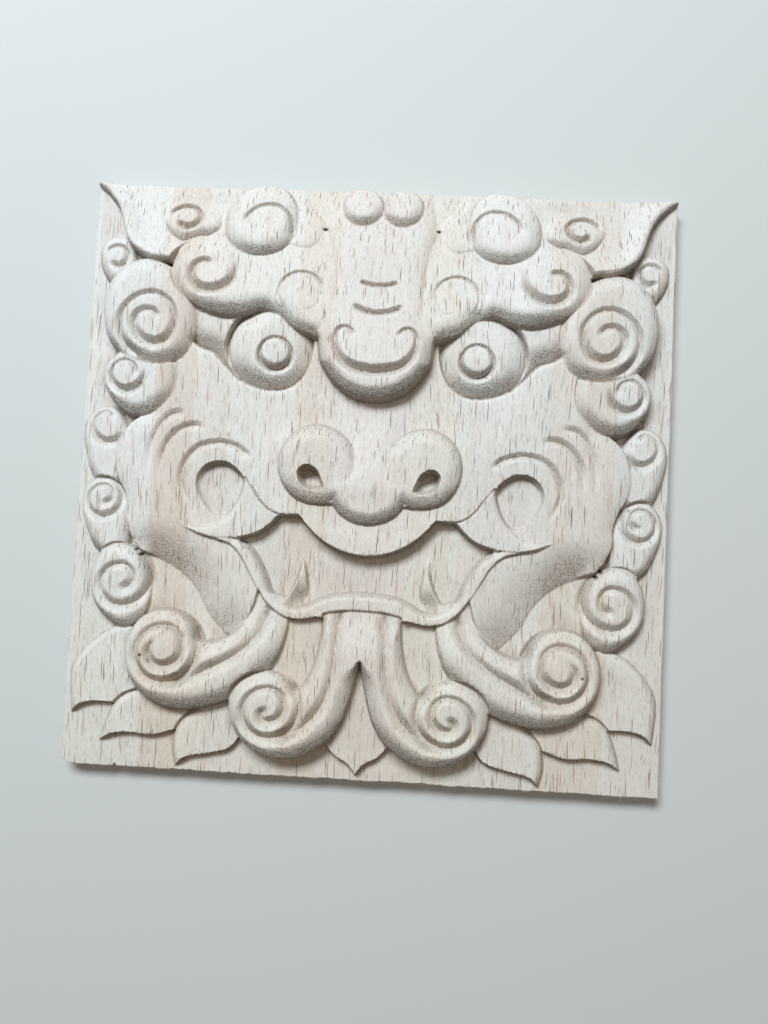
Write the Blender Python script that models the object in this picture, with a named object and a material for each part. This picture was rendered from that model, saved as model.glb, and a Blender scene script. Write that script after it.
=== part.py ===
"""Square wooden panel carved with the mask of a guardian lion, as one solid board.

The panel lies on its back: x runs across the face, y up the face and z out of it.
The design is drawn in millimetres above the bare board, for the half with x > 0,
and mirrored, as the carved face is the same left and right.
"""
import math

import bpy
import numpy as np
from mathutils import Vector
from mathutils.geometry import delaunay_2d_cdt

# The board
HALF_SIDE = 75.0
BOARD_THICKNESS = 4.5
MILLIMETRE = 0.001

# How sharply the forms stand up, and how finely they are worked out
WALL = 0.7
GRID_PITCH = 0.5
CURVE_STEPS = 6

# Corners of the facets on one half of the face
HALF_CORNERS = 2340
GROWTH = 1.3
BORDER_STEP = 15

# Levels of the relief above the bare board
TOP_EDGE = 0.4
CROWN_SLOPE = 0.232
CROWN_BEND = 0.0008
CROWN_END = 29.0
STRIP_LIFT = 0.7
EYE_LEVEL = 3.0
CHEEK_LEVEL = 4.3
MUZZLE_LIFT = 1.3
LOBE_EDGE = 2.9
JAW_EDGE = 1.3
JAW_SLOPE = 12.0
THROAT_LEVEL = 1.1
LIP_LEVEL = 5.4
MOUTH_LEVEL = 2.2
BRIDGE_LIFT = 0.4
NOSE_PEAK = 8.4
BEARD_EDGE = 4.0
BEARD_TOP = 7.0
LEAF_LEVEL = 2.1

WOOD_COLOUR = (0.72, 0.60, 0.47, 1.0)
WOOD_ROUGHNESS = 0.7


def smooth(t):
    """Rise from 0 to 1 as t does, level at both ends."""
    t = np.clip(t, 0.0, 1.0)
    return t * t * (3.0 - 2.0 * t)


def span(before, start, end, after):
    """Points from start up to end, bending as the neighbours on both sides ask."""
    gap_a = math.sqrt(np.linalg.norm(start - before))
    gap_b = math.sqrt(np.linalg.norm(end - start))
    gap_c = math.sqrt(np.linalg.norm(after - end))
    leave = (start - before) / gap_a - (end - before) / (gap_a + gap_b) + (end - start) / gap_b
    arrive = (end - start) / gap_b - (after - start) / (gap_b + gap_c) + (after - end) / gap_c
    t = (np.arange(CURVE_STEPS) / CURVE_STEPS)[:, None]
    points = start * (2 * t**3 - 3 * t**2 + 1) + end * (3 * t**2 - 2 * t**3)
    return points + gap_b * (leave * (t**3 - 2 * t**2 + t) + arrive * (t**3 - t**2))


def curve(*knots):
    """A smooth line through the knots, with free ends."""
    knots = [np.array(knot, float) for knot in knots]
    padded = [2 * knots[0] - knots[1]] + knots + [2 * knots[-1] - knots[-2]]
    spans = [span(*four) for four in zip(padded, padded[1:], padded[2:], padded[3:])]
    return np.vstack(spans + [knots[-1]])


def ring(*knots):
    """A smooth closed line through the knots."""
    knots = [np.array(knot, float) for knot in knots]
    padded = [knots[-1]] + knots + knots[:2]
    spans = [span(*four) for four in zip(padded, padded[1:], padded[2:], padded[3:])]
    return np.vstack(spans + [knots[0]])


def joined(*lines):
    """A closed line made of smooth lines that meet in corners."""
    return np.vstack(lines + (lines[0][:1],))


def arc(centre, radius, start, end):
    """Part of a circle; angles are in degrees from the outward side."""
    angles = np.radians(np.linspace(start, end, 2 + int(abs(end - start) / 12)))
    return np.column_stack([centre[0] + radius * np.cos(angles), centre[1] + radius * np.sin(angles)])


def volute(x, crossings, side, last_stretch=1.0):
    """A spiral of half turns that cross an upright line at x at the given heights."""
    points = []
    turns = list(zip(crossings, crossings[1:]))
    for number, (start, end) in enumerate(turns):
        stretch = last_stretch if number == len(turns) - 1 else 1.0
        middle, radius = (start + end) / 2, (end - start) / 2
        for angle in np.linspace(0.0, math.pi, 16)[: 16 if number == len(turns) - 1 else 15]:
            reach_out = side * stretch * abs(radius) * math.sin(angle)
            points.append((x + reach_out, middle - radius * math.cos(angle)))
        side = -side
    return np.array(points)


def stretches(x, y, line):
    """For each straight stretch of a line: how far away each place is, and how far along."""
    passed = 0.0
    for (ax, ay), (bx, by) in zip(line, line[1:]):
        length = max(math.hypot(bx - ax, by - ay), 1e-9)
        ux, uy = (bx - ax) / length, (by - ay) / length
        t = np.clip((x - ax) * ux + (y - ay) * uy, 0.0, length)
        yield np.hypot(x - ax - t * ux, y - ay - t * uy), passed + t
        passed += length


def distance(x, y, line):
    """Distance of each place from a line."""
    best = np.full(x.shape, np.inf)
    for away, _ in stretches(x, y, line):
        best = np.minimum(best, away)
    return best


def within(x, y, line):
    """Which places are inside a closed line."""
    inside = np.zeros(x.shape, bool)
    for (ax, ay), (bx, by) in zip(line, line[1:]):
        if ay == by:
            continue
        crosses = (ay > y) != (by > y)
        inside ^= crosses & (x < (bx - ax) * (y - ay) / (by - ay) + ax)
    return inside


class Carving:
    """Heights of one half of the carved face above the bare board."""

    def __init__(self, pitch):
        self.across = np.linspace(0.0, HALF_SIDE, round(HALF_SIDE / pitch) + 1)
        self.up = np.linspace(-HALF_SIDE, HALF_SIDE, 2 * len(self.across) - 1)
        self.x, self.y = np.meshgrid(self.across, self.up)
        self.height = np.zeros(self.x.shape)

    def near(self, line, margin):
        """Rows and columns of the grid within a margin of a line."""
        low, high = line.min(axis=0) - margin, line.max(axis=0) + margin
        rows = slice(*np.searchsorted(self.up, (low[1], high[1])))
        columns = slice(*np.searchsorted(self.across, (low[0], high[0])))
        return rows, columns

    def lay(self, line, foot, top, roll=1.0, rolled=None):
        """Put a form over the relief: it rises from foot to top within roll of its edge.

        foot, top and roll are numbers, or functions of x, y and the height that is there.
        rolled is the stretch of the edge that is rounded, where that isn't all of it.
        """
        part = self.near(line, WALL)
        x, y, here = self.x[part], self.y[part], self.height[part]
        away = distance(x, y, line)
        depth = np.where(within(x, y, line), away, -away)
        from_edge = depth if rolled is None else distance(x, y, rolled)
        foot = foot(x, y, here) if callable(foot) else foot
        top = top(x, y, here) if callable(top) else top
        roll = roll(x, y, here) if callable(roll) else roll
        inward = np.clip(from_edge / roll, 0.0, 1.0)
        rise = (np.sin(inward * math.pi / 2) + np.sqrt(inward * (2.0 - inward))) / 2
        surface = foot + (top - foot) * rise
        self.height[part] = here + (surface - here) * smooth(depth / WALL + 0.5)

    def cut(self, line, width, depth, fade=(2.0, 2.0), slim=None):
        """Cut a groove with soft shoulders that runs out over fade at its two ends.

        slim is the share of its width and depth that the groove has at its highest place,
        where that isn't all of it; it swells to the full size at its lowest place.
        """
        part = self.near(line, width / 2)
        x, y = self.x[part], self.y[part]
        low, high = line[:, 1].min(), line[:, 1].max()
        size = 1.0 if slim is None else slim + (1.0 - slim) * smooth((high - y) / (high - low))
        length = np.linalg.norm(np.diff(line, axis=0), axis=1).sum()
        groove = np.zeros(x.shape)
        for away, along in stretches(x, y, line):
            profile = np.clip(1.0 - away / (width * size / 2), 0.0, 1.0) ** 1.5
            strength = smooth(along / fade[0]) * smooth((length - along) / fade[1])
            groove = np.maximum(groove, profile * strength)
        self.height[part] -= depth * size * groove


def crown(x, y, here=None):
    """Level of the brow and forehead: it climbs from the top edge down to the eyes."""
    run = HALF_SIDE - np.maximum(y, CROWN_END)
    strip = STRIP_LIFT * smooth((15.0 - x) / 8.0) * smooth((76.0 - y) / 12.0)
    return TOP_EDGE + CROWN_SLOPE * run - CROWN_BEND * run**2 + strip


def face_level(x, y, here=None):
    """Level of the cheeks, raised a little at the muzzle and more towards the lip."""
    muzzle = MUZZLE_LIFT * smooth((40.0 - x) / 24.0) * smooth((16.0 - y) / 14.0)
    return CHEEK_LEVEL + muzzle + 0.9 * smooth((26.0 - x) / 10.0) * smooth((-4.0 - y) / 15.0)


def leaf(carving, side_edge, low_edge, hidden):
    """A leaf tip with a bevelled side and an upright lower edge."""
    line = joined(side_edge, low_edge, hidden)
    carving.lay(line, 0.35, LEAF_LEVEL, roll=2.2, rolled=side_edge)


def leaves(carving):
    """Four leaf tips that fan out under the beard, with the middle one shared."""
    leaf(carving,
         curve((62.0, -39.0), (66.4, -41.4), (70.6, -45.6), (73.3, -50.5), (72.8, -61.7)),
         curve((72.8, -61.7), (70.1, -59.5), (66.5, -58.6), (60.0, -58.8)),
         curve((50.0, -58.8), (50.0, -40.0)))
    leaf(carving,
         curve((54.0, -54.2), (59.4, -56.2), (62.1, -59.1), (63.9, -63.6), (65.2, -68.4)),
         curve((65.2, -68.4), (61.5, -66.4), (57.0, -65.9), (51.5, -66.2), (45.5, -64.4)),
         curve((40.0, -60.0), (46.0, -54.0)))
    leaf(carving,
         curve((40.5, -58.0), (44.4, -61.9), (46.0, -65.0), (46.4, -69.0), (45.4, -73.6)),
         curve((45.4, -73.6), (42.9, -71.3), (37.0, -69.9), (31.5, -68.2), (29.0, -65.0)),
         curve((25.0, -60.0), (35.0, -54.0)))
    low_edge = curve((9.0, -64.0), (7.4, -66.4), (5.2, -68.7), (2.2, -70.4), (0.0, -73.0))
    beyond = curve((0.0, -73.0), (-3.0, -70.0), (-3.0, -40.0), (10.0, -44.0))
    carving.lay(joined(low_edge, beyond), LEAF_LEVEL, LEAF_LEVEL)


def throat(carving):
    """The low field between the jaw, the side curls and the beard."""
    line = ring((59.0, -20.0), (48.0, -20.0), (30.0, -32.0), (36.0, -46.0), (56.0, -42.0))
    carving.lay(line, THROAT_LEVEL, THROAT_LEVEL)
    line = ring((7.0, -30.0), (20.0, -29.0), (25.0, -48.0), (15.0, -57.0), (6.0, -46.0))
    carving.lay(line, BEARD_EDGE - 0.8, BEARD_EDGE - 0.8)


def side_curls(carving):
    """The column of small curls along the board's side, each over the stem of the one above."""
    carving.lay(ring((65.0, 60.0), (69.5, 60.8), (72.6, 58.6), (73.1, 55.1), (72.0, 51.6),
                     (69.5, 48.5), (64.0, 50.0)), 0.6, 2.3, roll=3.0)
    carving.cut(curve((69.6, 53.6), (67.8, 52.8), (66.2, 53.8), (65.6, 55.8), (66.5, 57.5), (68.3, 58.1),
                      (70.0, 57.4), (71.0, 55.8)), 2.6, 1.2, fade=(1.0, 2.0), slim=0.7)
    carving.lay(ring((65.8, 15.9), (69.3, 16.5), (72.7, 14.2), (74.1, 9.8), (73.3, 4.5),
                     (71.4, -1.0), (68.0, -5.0), (62.0, -3.0), (61.0, 6.0)), 0.8, 2.8, roll=3.0)
    carving.cut(curve((65.8, 13.2), (68.2, 14.9), (70.6, 13.7), (71.5, 11.0), (70.4, 8.4), (68.0, 7.0),
                      (65.6, 7.3), (64.0, 9.4), (63.6, 12.4)), 3.4, 1.4, fade=(1.5, 6.0), slim=0.6)
    carving.lay(ring((66.3, -1.9), (70.0, -2.2), (72.7, -5.2), (73.2, -10.0), (71.8, -15.0),
                     (69.0, -20.0), (62.0, -23.0), (60.5, -12.0), (62.6, -4.8)), 0.9, 2.9, roll=3.0)
    carving.cut(volute(67.5, (-8.6, -3.9, -12.0, -2.7), -1), 3.2, 1.3, fade=(1.0, 7.0), slim=0.7)
    carving.lay(ring((63.0, -18.3), (66.9, -20.2), (69.5, -25.5), (68.9, -32.5), (65.4, -37.2),
                     (60.0, -39.8), (55.0, -36.0), (54.0, -27.8), (57.0, -20.5)), 1.5, 3.9, roll=3.5)
    carving.cut(volute(61.4, (-29.9, -23.8, -34.2, -19.5), -1), 4.2, 1.6, fade=(1.5, 13.0), slim=0.6)


def cheek(carving):
    """The broad plane of the face, from under the brow down to the jaw."""
    lobe = curve((56.5, 15.3), (60.2, 13.4), (63.2, 10.2), (64.8, 5.0), (64.4, -0.7), (62.0, -5.6),
                 (61.0, -9.0), (61.0, -13.0), (59.4, -17.0), (57.2, -19.9))
    jaw = curve((57.2, -19.9), (52.2, -21.9), (47.0, -24.6), (42.6, -28.8), (38.9, -35.0),
                (34.4, -40.0))
    under = curve((34.4, -40.0), (30.0, -39.5), (24.0, -35.0), (-6.0, -30.0), (-6.0, 50.0))
    above = curve((-6.0, 50.0), (50.0, 50.0), (60.0, 40.0), (58.0, 26.0), (56.5, 15.3))

    def sloped(x, y, here):
        inward = np.clip(distance(x, y, jaw[CURVE_STEPS:]) / JAW_SLOPE, 0.0, 1.0)
        return JAW_EDGE + (face_level(x, y) - JAW_EDGE) * np.sin(inward * math.pi / 2)

    carving.lay(joined(lobe, jaw, under, above),
                lambda x, y, here: np.minimum(sloped(x, y, here), LOBE_EDGE), sloped, roll=6.0, rolled=lobe)
    carving.cut(curve((47.0, 15.2), (50.4, 14.7), (53.0, 12.8), (54.9, 9.3), (55.9, 5.4), (56.1, -2.0)),
                3.0, 0.9, fade=(3.0, 9.0))
    carving.cut(curve((41.7, 11.6), (45.6, 11.9), (48.8, 10.6), (51.2, 7.9), (52.6, 4.5), (53.2, -3.0)),
                3.0, 1.1, fade=(4.0, 9.0))


def nose_bridge(carving):
    """The low rounded bridge between the eyes."""
    side = curve((9.0, 26.0), (8.4, 18.0), (9.4, 12.0), (12.0, 6.0))
    rest = curve((12.0, 6.0), (-6.0, 4.0), (-6.0, 26.0), (9.0, 26.0))
    carving.lay(joined(side, rest), CHEEK_LEVEL, CHEEK_LEVEL + BRIDGE_LIFT, roll=6.0, rolled=side)


def eye_tail(carving):
    """The hollow that leads from the eye out to the big curl."""
    low_edge = curve((52.0, 36.0), (48.0, 34.5), (44.6, 32.2), (41.0, 30.9), (37.6, 27.4), (34.0, 24.0))
    rest = curve((34.0, 24.0), (28.0, 30.0), (30.0, 46.0), (52.0, 46.0), (52.0, 36.0))
    carving.lay(joined(low_edge, rest), EYE_LEVEL - 1.4, EYE_LEVEL + 1.3, roll=6.0, rolled=low_edge)


def large_side_curls(carving):
    """The big curl beside the eye and the smaller one below it."""
    carving.lay(ring((68.6, 27.0), (69.0, 22.5), (66.6, 17.6), (61.2, 13.9), (55.8, 15.0),
                     (51.2, 19.6), (50.1, 25.0), (52.0, 30.5), (62.0, 32.0)), 3.0, 5.4, roll=4.0)
    carving.cut(curve((60.5, 23.4), (60.5, 25.6), (61.6, 27.3), (63.8, 27.8), (66.0, 26.6), (66.9, 24.2),
                      (66.1, 21.8), (64.2, 20.3), (61.8, 20.1), (59.6, 21.4), (58.4, 23.8), (58.4, 26.6)),
                3.4, 1.7, fade=(2.5, 5.0), slim=0.5)
    carving.lay(ring((58.6, 54.6), (65.0, 52.8), (69.4, 47.0), (70.2, 39.5), (67.8, 32.0),
                     (62.5, 28.6), (55.0, 27.2), (49.2, 29.0), (45.9, 35.5), (46.4, 43.0),
                     (51.0, 51.0)), 3.4, 6.2, roll=4.5)
    carving.cut(curve((55.3, 38.6), (56.4, 40.2), (58.4, 40.8), (60.6, 39.6), (61.4, 37.2), (60.3, 34.4),
                      (58.2, 32.7), (55.6, 32.3), (53.0, 33.5), (51.5, 36.2), (51.3, 40.0), (53.0, 43.2),
                      (56.2, 44.9), (59.4, 44.7), (62.5, 42.9), (64.7, 39.8), (65.2, 36.0), (63.9, 32.4),
                      (61.2, 29.8), (57.5, 28.4)), 4.2, 1.9, fade=(1.5, 6.0), slim=0.55)


def eye(carving):
    """The eye under the brow, with its ball."""
    socket = ring((31.0, 42.6), (35.6, 39.2), (38.0, 34.0), (37.2, 28.6), (33.6, 24.2), (28.1, 22.1),
                  (22.8, 22.3), (18.6, 25.2), (16.2, 31.0), (17.0, 42.0), (24.0, 47.0))
    carving.lay(socket, EYE_LEVEL - 1.4, EYE_LEVEL + 1.9, roll=6.5)
    carving.cut(curve((48.0, 34.5), (44.6, 32.2), (41.0, 30.9), (37.2, 27.4), (33.0, 23.9),
                      (27.0, 22.0), (21.5, 22.7), (17.8, 26.0)), 2.6, 0.5)
    carving.cut(curve((37.2, 27.4), (38.0, 33.0), (35.6, 39.2), (31.0, 42.6)), 1.8, 0.5)
    carving.cut(arc((25.4, 31.2), 4.0, -230.0, 145.0), 3.0, 2.0, fade=(0.1, 0.1), slim=0.4)
    ball = arc((25.4, 31.2), 3.9, 0.0, 360.0)
    carving.lay(ball, lambda x, y, here: here, lambda x, y, here: EYE_LEVEL + 2.3, roll=3.6)


def horn(carving):
    """The pointed ear that reaches into the board's corner, hollow inside its rim."""
    rim = curve((75.3, 75.0), (71.2, 71.6), (68.6, 68.2), (67.1, 64.3), (65.7, 60.3), (63.2, 56.8),
                (59.6, 54.5), (52.0, 53.4))
    hidden = curve((44.0, 56.0), (36.0, 64.0), (26.0, 80.0), (80.0, 80.0))

    def rim_top(x, y, here):
        away = distance(x, y, rim)
        return crown(x, y) + 1.4 * np.exp(-((away - 1.2) / 2.6) ** 2)

    carving.lay(joined(rim, hidden), lambda x, y, here: crown(x, y) + 0.3, rim_top, roll=1.6, rolled=rim)


def brow(carving):
    """The heavy brow with the curl at its outer end."""
    def drop(x, y):
        return (2.5 - 1.2 * smooth((x - 43.0) / 6.0)) * smooth((60.0 - y) / 6.0)

    curl_side = curve((34.0, 62.0), (41.0, 61.4), (47.0, 60.3), (51.4, 57.6), (53.2, 53.3), (52.4, 49.0),
                      (49.8, 45.1), (45.9, 42.1), (41.5, 40.4), (37.6, 39.9), (33.7, 40.7),
                      (29.4, 42.2), (24.8, 40.8), (20.4, 37.2), (14.5, 34.9))
    above = curve((14.5, 34.9), (-6.0, 34.0), (-6.0, 80.0), (34.0, 80.0))
    carving.lay(joined(curl_side, above),
                lambda x, y, here: crown(x, y) - 0.3 - drop(x, y),
                lambda x, y, here: crown(x, y) + 0.9 * smooth((x - 32.0) / 8.0) * smooth((66.0 - y) / 6.0),
                roll=4.8, rolled=curl_side)
    carving.cut(curve((42.6, 53.5), (44.6, 54.1), (46.6, 53.1), (47.6, 50.6), (46.8, 48.0), (44.8, 46.5),
                      (42.2, 46.2), (39.3, 47.2), (37.2, 49.4), (36.4, 52.6), (37.2, 56.0)),
                4.0, 2.1, fade=(1.0, 7.0), slim=0.55)
    carving.cut(arc((19.6, 46.4), 5.6, -60.0, 200.0), 1.5, 0.7, fade=(8.0, 6.0))
    carving.cut(curve((15.2, 45.5), (15.6, 43.0), (17.4, 41.9), (19.4, 42.8)), 1.0, 0.25)
    carving.cut(curve((26.8, 49.5), (26.2, 45.0), (24.0, 41.0)), 4.0, 0.4)


def brow_curls(carving):
    """The small snail and the large curl above the brow."""
    carving.lay(ring((50.4, 71.6), (54.6, 70.2), (56.4, 66.2), (54.9, 62.4), (52.8, 60.2), (50.7, 59.3),
                     (48.6, 60.1), (46.4, 60.9), (44.0, 61.3), (41.6, 63.4), (41.8, 67.4), (45.6, 71.0)),
                lambda x, y, here: crown(x, y) - 0.3 * smooth((66.0 - y) / 5.0),
                lambda x, y, here: crown(x, y) + 1.5 * smooth((71.5 - y) / 9.0), roll=3.0)
    carving.cut(curve((52.4, 64.3), (50.4, 63.0), (48.2, 63.7), (46.8, 66.2), (47.9, 68.4), (50.6, 69.3),
                      (53.4, 68.4), (55.9, 65.8)), 3.0, 1.8, fade=(0.8, 3.0), slim=0.65)
    shoulder = curve((20.6, 76.0), (18.6, 70.6), (15.2, 66.0), (15.6, 61.6), (18.6, 58.8), (25.0, 60.0))
    carving.lay(joined(shoulder, curve((25.0, 60.0), (32.0, 64.0), (32.0, 76.0))),
                lambda x, y, here: crown(x, y) + 0.1, lambda x, y, here: crown(x, y) + 0.6, roll=3.0,
                rolled=shoulder)
    carving.lay(ring((29.2, 75.7), (35.1, 73.7), (39.2, 69.2), (40.4, 64.0), (39.0, 59.6), (35.4, 56.8),
                     (30.0, 56.0), (25.0, 58.0), (22.0, 62.5), (21.8, 68.0), (24.4, 73.4)),
                lambda x, y, here: crown(x, y) - 0.1 + 1.8 * smooth((y - 64.0) / 10.0),
                lambda x, y, here: crown(x, y) + 2.5, roll=4.5)
    carving.cut(curve((22.9, 60.5), (22.7, 64.0), (23.8, 67.0), (26.4, 69.1), (29.4, 69.5), (32.4, 68.4),
                      (34.6, 66.0), (35.0, 63.0)), 2.8, 1.4, fade=(3.0, 3.5), slim=0.55)


def forehead(carving):
    """The tongue-shaped strip down the forehead, with two beads and three grooves."""
    tip = curve((14.6, 36.4), (13.9, 30.1), (12.3, 26.9), (9.6, 23.7), (6.6, 21.4), (3.2, 20.2),
                (0.0, 19.8), (-3.2, 20.2), (-6.6, 21.4))
    rest = curve((-8.0, 40.0), (8.0, 44.0), (14.6, 36.4))
    carving.lay(joined(tip, rest), lambda x, y, here: crown(x, y) - 2.8 * smooth((38.0 - y) / 6.0), crown,
                roll=3.6, rolled=tip)
    side = curve((11.8, 76.0), (13.3, 68.3), (14.1, 63.8))
    lower = curve((14.1, 63.8), (12.7, 59.7), (11.7, 53.8), (10.9, 48.0), (10.4, 43.0))
    rest = curve((-6.0, 43.0), (-6.0, 76.0))
    carving.lay(joined(side, lower, rest), lambda x, y, here: crown(x, y),
                lambda x, y, here: crown(x, y) + 0.8 * smooth((y - 44.0) / 16.0), roll=3.0,
                rolled=np.vstack([side, lower]))
    carving.cut(curve((11.8, 57.0), (11.3, 48.0), (11.0, 39.0)), 2.4, 0.35, fade=(6.0, 4.0))
    carving.lay(arc((5.1, 70.0), 5.2, 0.0, 360.0),
                lambda x, y, here: crown(x, y) - 0.3 + 2.2 * smooth((y - 66.0) / 8.0),
                lambda x, y, here: crown(x, y) + 2.4, roll=3.2)
    carving.cut(arc((0.0, 60.2), 11.6, -65.0, -115.0), 1.8, 1.1, fade=(1.0, 1.0))
    carving.cut(arc((0.0, 51.8), 10.4, -51.0, -129.0), 2.2, 1.3, fade=(2.0, 2.0))
    carving.cut(curve((5.2, 35.0), (6.2, 36.9), (8.0, 37.6), (9.7, 36.6), (10.1, 34.0), (9.3, 31.0),
                      (7.4, 28.6), (4.4, 27.1), (0.0, 26.5), (-4.4, 27.1)),
                3.8, 2.2, fade=(2.0, 0.1), slim=0.4)


def nose(carving):
    """Two nostril bulbs beside a rounded middle lobe."""
    def bridge(x, y, here):
        start = CHEEK_LEVEL + BRIDGE_LIFT
        aside = smooth((np.abs(x) - 2.0) / 6.0) * smooth((y + 2.0) / 9.0)
        climb = start + (NOSE_PEAK - start) * smooth((17.0 - y) / 20.0) * (1.0 - aside)
        return np.maximum(climb, here)

    carving.lay(ring((13.5, 13.6), (18.5, 12.0), (22.0, 8.2), (23.0, 3.6), (21.7, -1.0), (18.8, -4.6),
                     (14.5, -6.3), (8.0, -6.0), (3.0, -3.0), (3.0, 6.0), (7.0, 11.2)),
                lambda x, y, here: np.maximum(here, 5.0) + 0.6 * smooth((4.0 - y) / 6.0),
                NOSE_PEAK - 0.2, roll=4.4)
    low_edge = curve((9.2, -5.4), (7.4, -8.0), (4.4, -10.2), (0.0, -11.1), (-4.4, -10.2), (-7.4, -8.0))
    rest = curve((-6.0, 4.0), (-4.0, 17.0), (4.0, 17.0), (7.0, 8.0), (9.2, -5.4))
    carving.lay(joined(low_edge, rest), NOSE_PEAK - 2.3, bridge, roll=3.6, rolled=low_edge)
    nostril = ring((17.6, 1.2), (16.6, 2.8), (14.8, 3.1), (12.8, 1.9), (11.6, -0.4), (11.0, -2.4),
                   (13.4, -3.1), (16.2, -2.2))
    carving.lay(nostril, lambda x, y, here: here,
                lambda x, y, here: np.minimum(here, 2.9 + 0.11 * (2.8 - y) ** 2), roll=1.3)


def mouth(carving):
    """The open mouth: the sunk floor, the corner loops, the corner leaves and the tusks."""
    loop_groove = curve((29.8, 4.1), (32.3, 6.2), (35.2, 7.5), (38.1, 7.9), (41.5, 7.4), (44.4, 5.9),
                        (46.7, 2.7), (47.6, -1.0), (46.6, -4.8), (44.0, -8.6))
    carving.cut(loop_groove, 2.6, 1.1, fade=(3.0, 8.0))
    hole = ring((31.2, -1.2), (34.5, 2.5), (37.6, 3.5), (40.8, 2.6), (42.9, 0.4), (43.6, -2.6),
                (42.2, -6.4), (38.0, -10.6), (33.6, -9.0))
    carving.lay(hole, lambda x, y, here: here,
                lambda x, y, here: 1.9 + 1.5 * smooth((1.0 - y) / 11.0) + 0.9 * smooth((x - 39.5) / 5.0),
                roll=1.2)
    lip_side = curve((31.2, -0.6), (29.0, -3.1), (27.1, -5.9), (24.7, -8.2), (21.8, -9.4), (17.0, -9.4))
    lip_middle = curve((17.0, -9.4), (14.5, -12.3), (11.3, -15.1), (7.6, -17.2), (3.8, -18.4),
                       (0.0, -18.8), (-3.8, -18.4))
    floor = curve((-3.8, -18.4), (-3.8, -29.6), (8.0, -30.6), (16.6, -33.2), (22.1, -31.4),
                  (24.5, -28.6), (26.5, -24.4), (28.8, -20.4), (31.4, -16.4), (31.8, -10.0), (31.2, -0.6))
    carving.lay(joined(lip_side, lip_middle, floor), MOUTH_LEVEL, MOUTH_LEVEL)
    leaf_side = curve((45.8, -13.3), (40.9, -13.0), (37.3, -11.6), (34.3, -8.9), (32.3, -4.8), (31.2, -0.6))
    leaf_low = curve((21.9, -9.6), (23.8, -11.7), (26.5, -13.9), (30.2, -15.3), (34.1, -16.0),
                     (38.5, -15.9), (42.4, -14.9), (45.8, -13.3))
    carving.lay(joined(leaf_side, lip_side, leaf_low), 4.2, 5.5, roll=2.0, rolled=leaf_side)
    tusk_back = curve((15.9, -18.8), (16.3, -22.4), (17.5, -26.0), (19.2, -29.2), (22.0, -33.4))
    tusk_front = curve((13.0, -33.4), (13.8, -30.4), (14.0, -26.6), (14.7, -22.6), (15.9, -18.8))

    def tusk_top(x, y, here):
        crest = 0.6 + 1.9 * smooth((-19.0 - y) / 6.0) - 0.7 * smooth((-26.0 - y) / 5.0)
        return MOUTH_LEVEL + np.maximum(crest - 0.4 * distance(x, y, tusk_back), 0.1)

    carving.lay(joined(tusk_back, tusk_front), MOUTH_LEVEL + 0.1, tusk_top, roll=1.0, rolled=tusk_back)


def beard(carving):
    """Two pairs of flame-like locks that end in curls, lower where they leave the lip."""
    def lock_top(x, y, here):
        return BEARD_TOP - 2.4 * smooth((y + 44.0) / 12.0)

    outer_lock = curve((26.0, -28.0), (27.8, -34.1), (30.7, -38.2), (34.8, -41.0), (38.7, -42.0),
                       (41.0, -41.4), (42.2, -38.3), (45.0, -35.5), (49.0, -34.4), (53.4, -35.3),
                       (57.0, -38.6), (58.9, -43.6), (58.4, -49.0), (56.0, -53.6), (51.9, -57.0),
                       (46.5, -58.7), (41.2, -58.6), (32.4, -56.0), (26.1, -51.6), (22.0, -47.4),
                       (19.6, -42.6), (18.3, -36.5), (18.6, -30.0))
    carving.lay(joined(outer_lock), lambda x, y, here: np.minimum(lock_top(x, y, here) - 1.0, BEARD_EDGE),
                lock_top, roll=5.0, rolled=outer_lock)
    carving.cut(curve((22.6, -31.5), (24.8, -37.7), (27.9, -41.9), (31.8, -45.2), (36.7, -48.1),
                      (42.5, -51.0), (46.4, -52.2)), 5.0, 1.9, fade=(4.0, 1.5))
    carving.cut(volute(48.9, (-41.7, -48.3, -38.2, -52.2, -35.0), 1), 4.4, 2.0, fade=(6.0, 12.0), slim=0.6)
    inner_lock = curve((9.7, -30.0), (10.2, -40.5), (12.3, -48.2), (15.6, -52.6), (17.4, -50.4),
                       (20.4, -48.5), (24.1, -48.0), (28.3, -49.5), (31.2, -52.5), (32.2, -57.0),
                       (30.9, -61.9), (27.8, -66.2), (23.1, -68.9), (17.8, -69.7), (12.4, -68.3),
                       (7.5, -65.0), (4.2, -60.4), (1.9, -53.6), (0.0, -45.0))
    root = curve((0.0, -45.0), (-3.0, -40.0), (-3.0, -30.0))
    carving.lay(joined(inner_lock, root),
                lambda x, y, here: np.minimum(lock_top(x, y, here) - 1.0, BEARD_EDGE), lock_top,
                roll=lambda x, y, here: 1.0 + 4.0 * smooth((-45.0 - y) / 12.0 + x / 9.0), rolled=inner_lock)
    carving.cut(curve((5.2, -31.5), (6.1, -41.3), (6.9, -49.1), (8.6, -55.3), (11.9, -60.0),
                      (15.6, -62.8), (19.0, -64.4)), 4.6, 1.7, fade=(5.0, 1.5))
    carving.cut(volute(22.0, (-57.4, -60.3, -52.1, -64.4, -49.0), 1), 4.4, 2.0, fade=(1.5, 12.0), slim=0.6)


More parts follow.
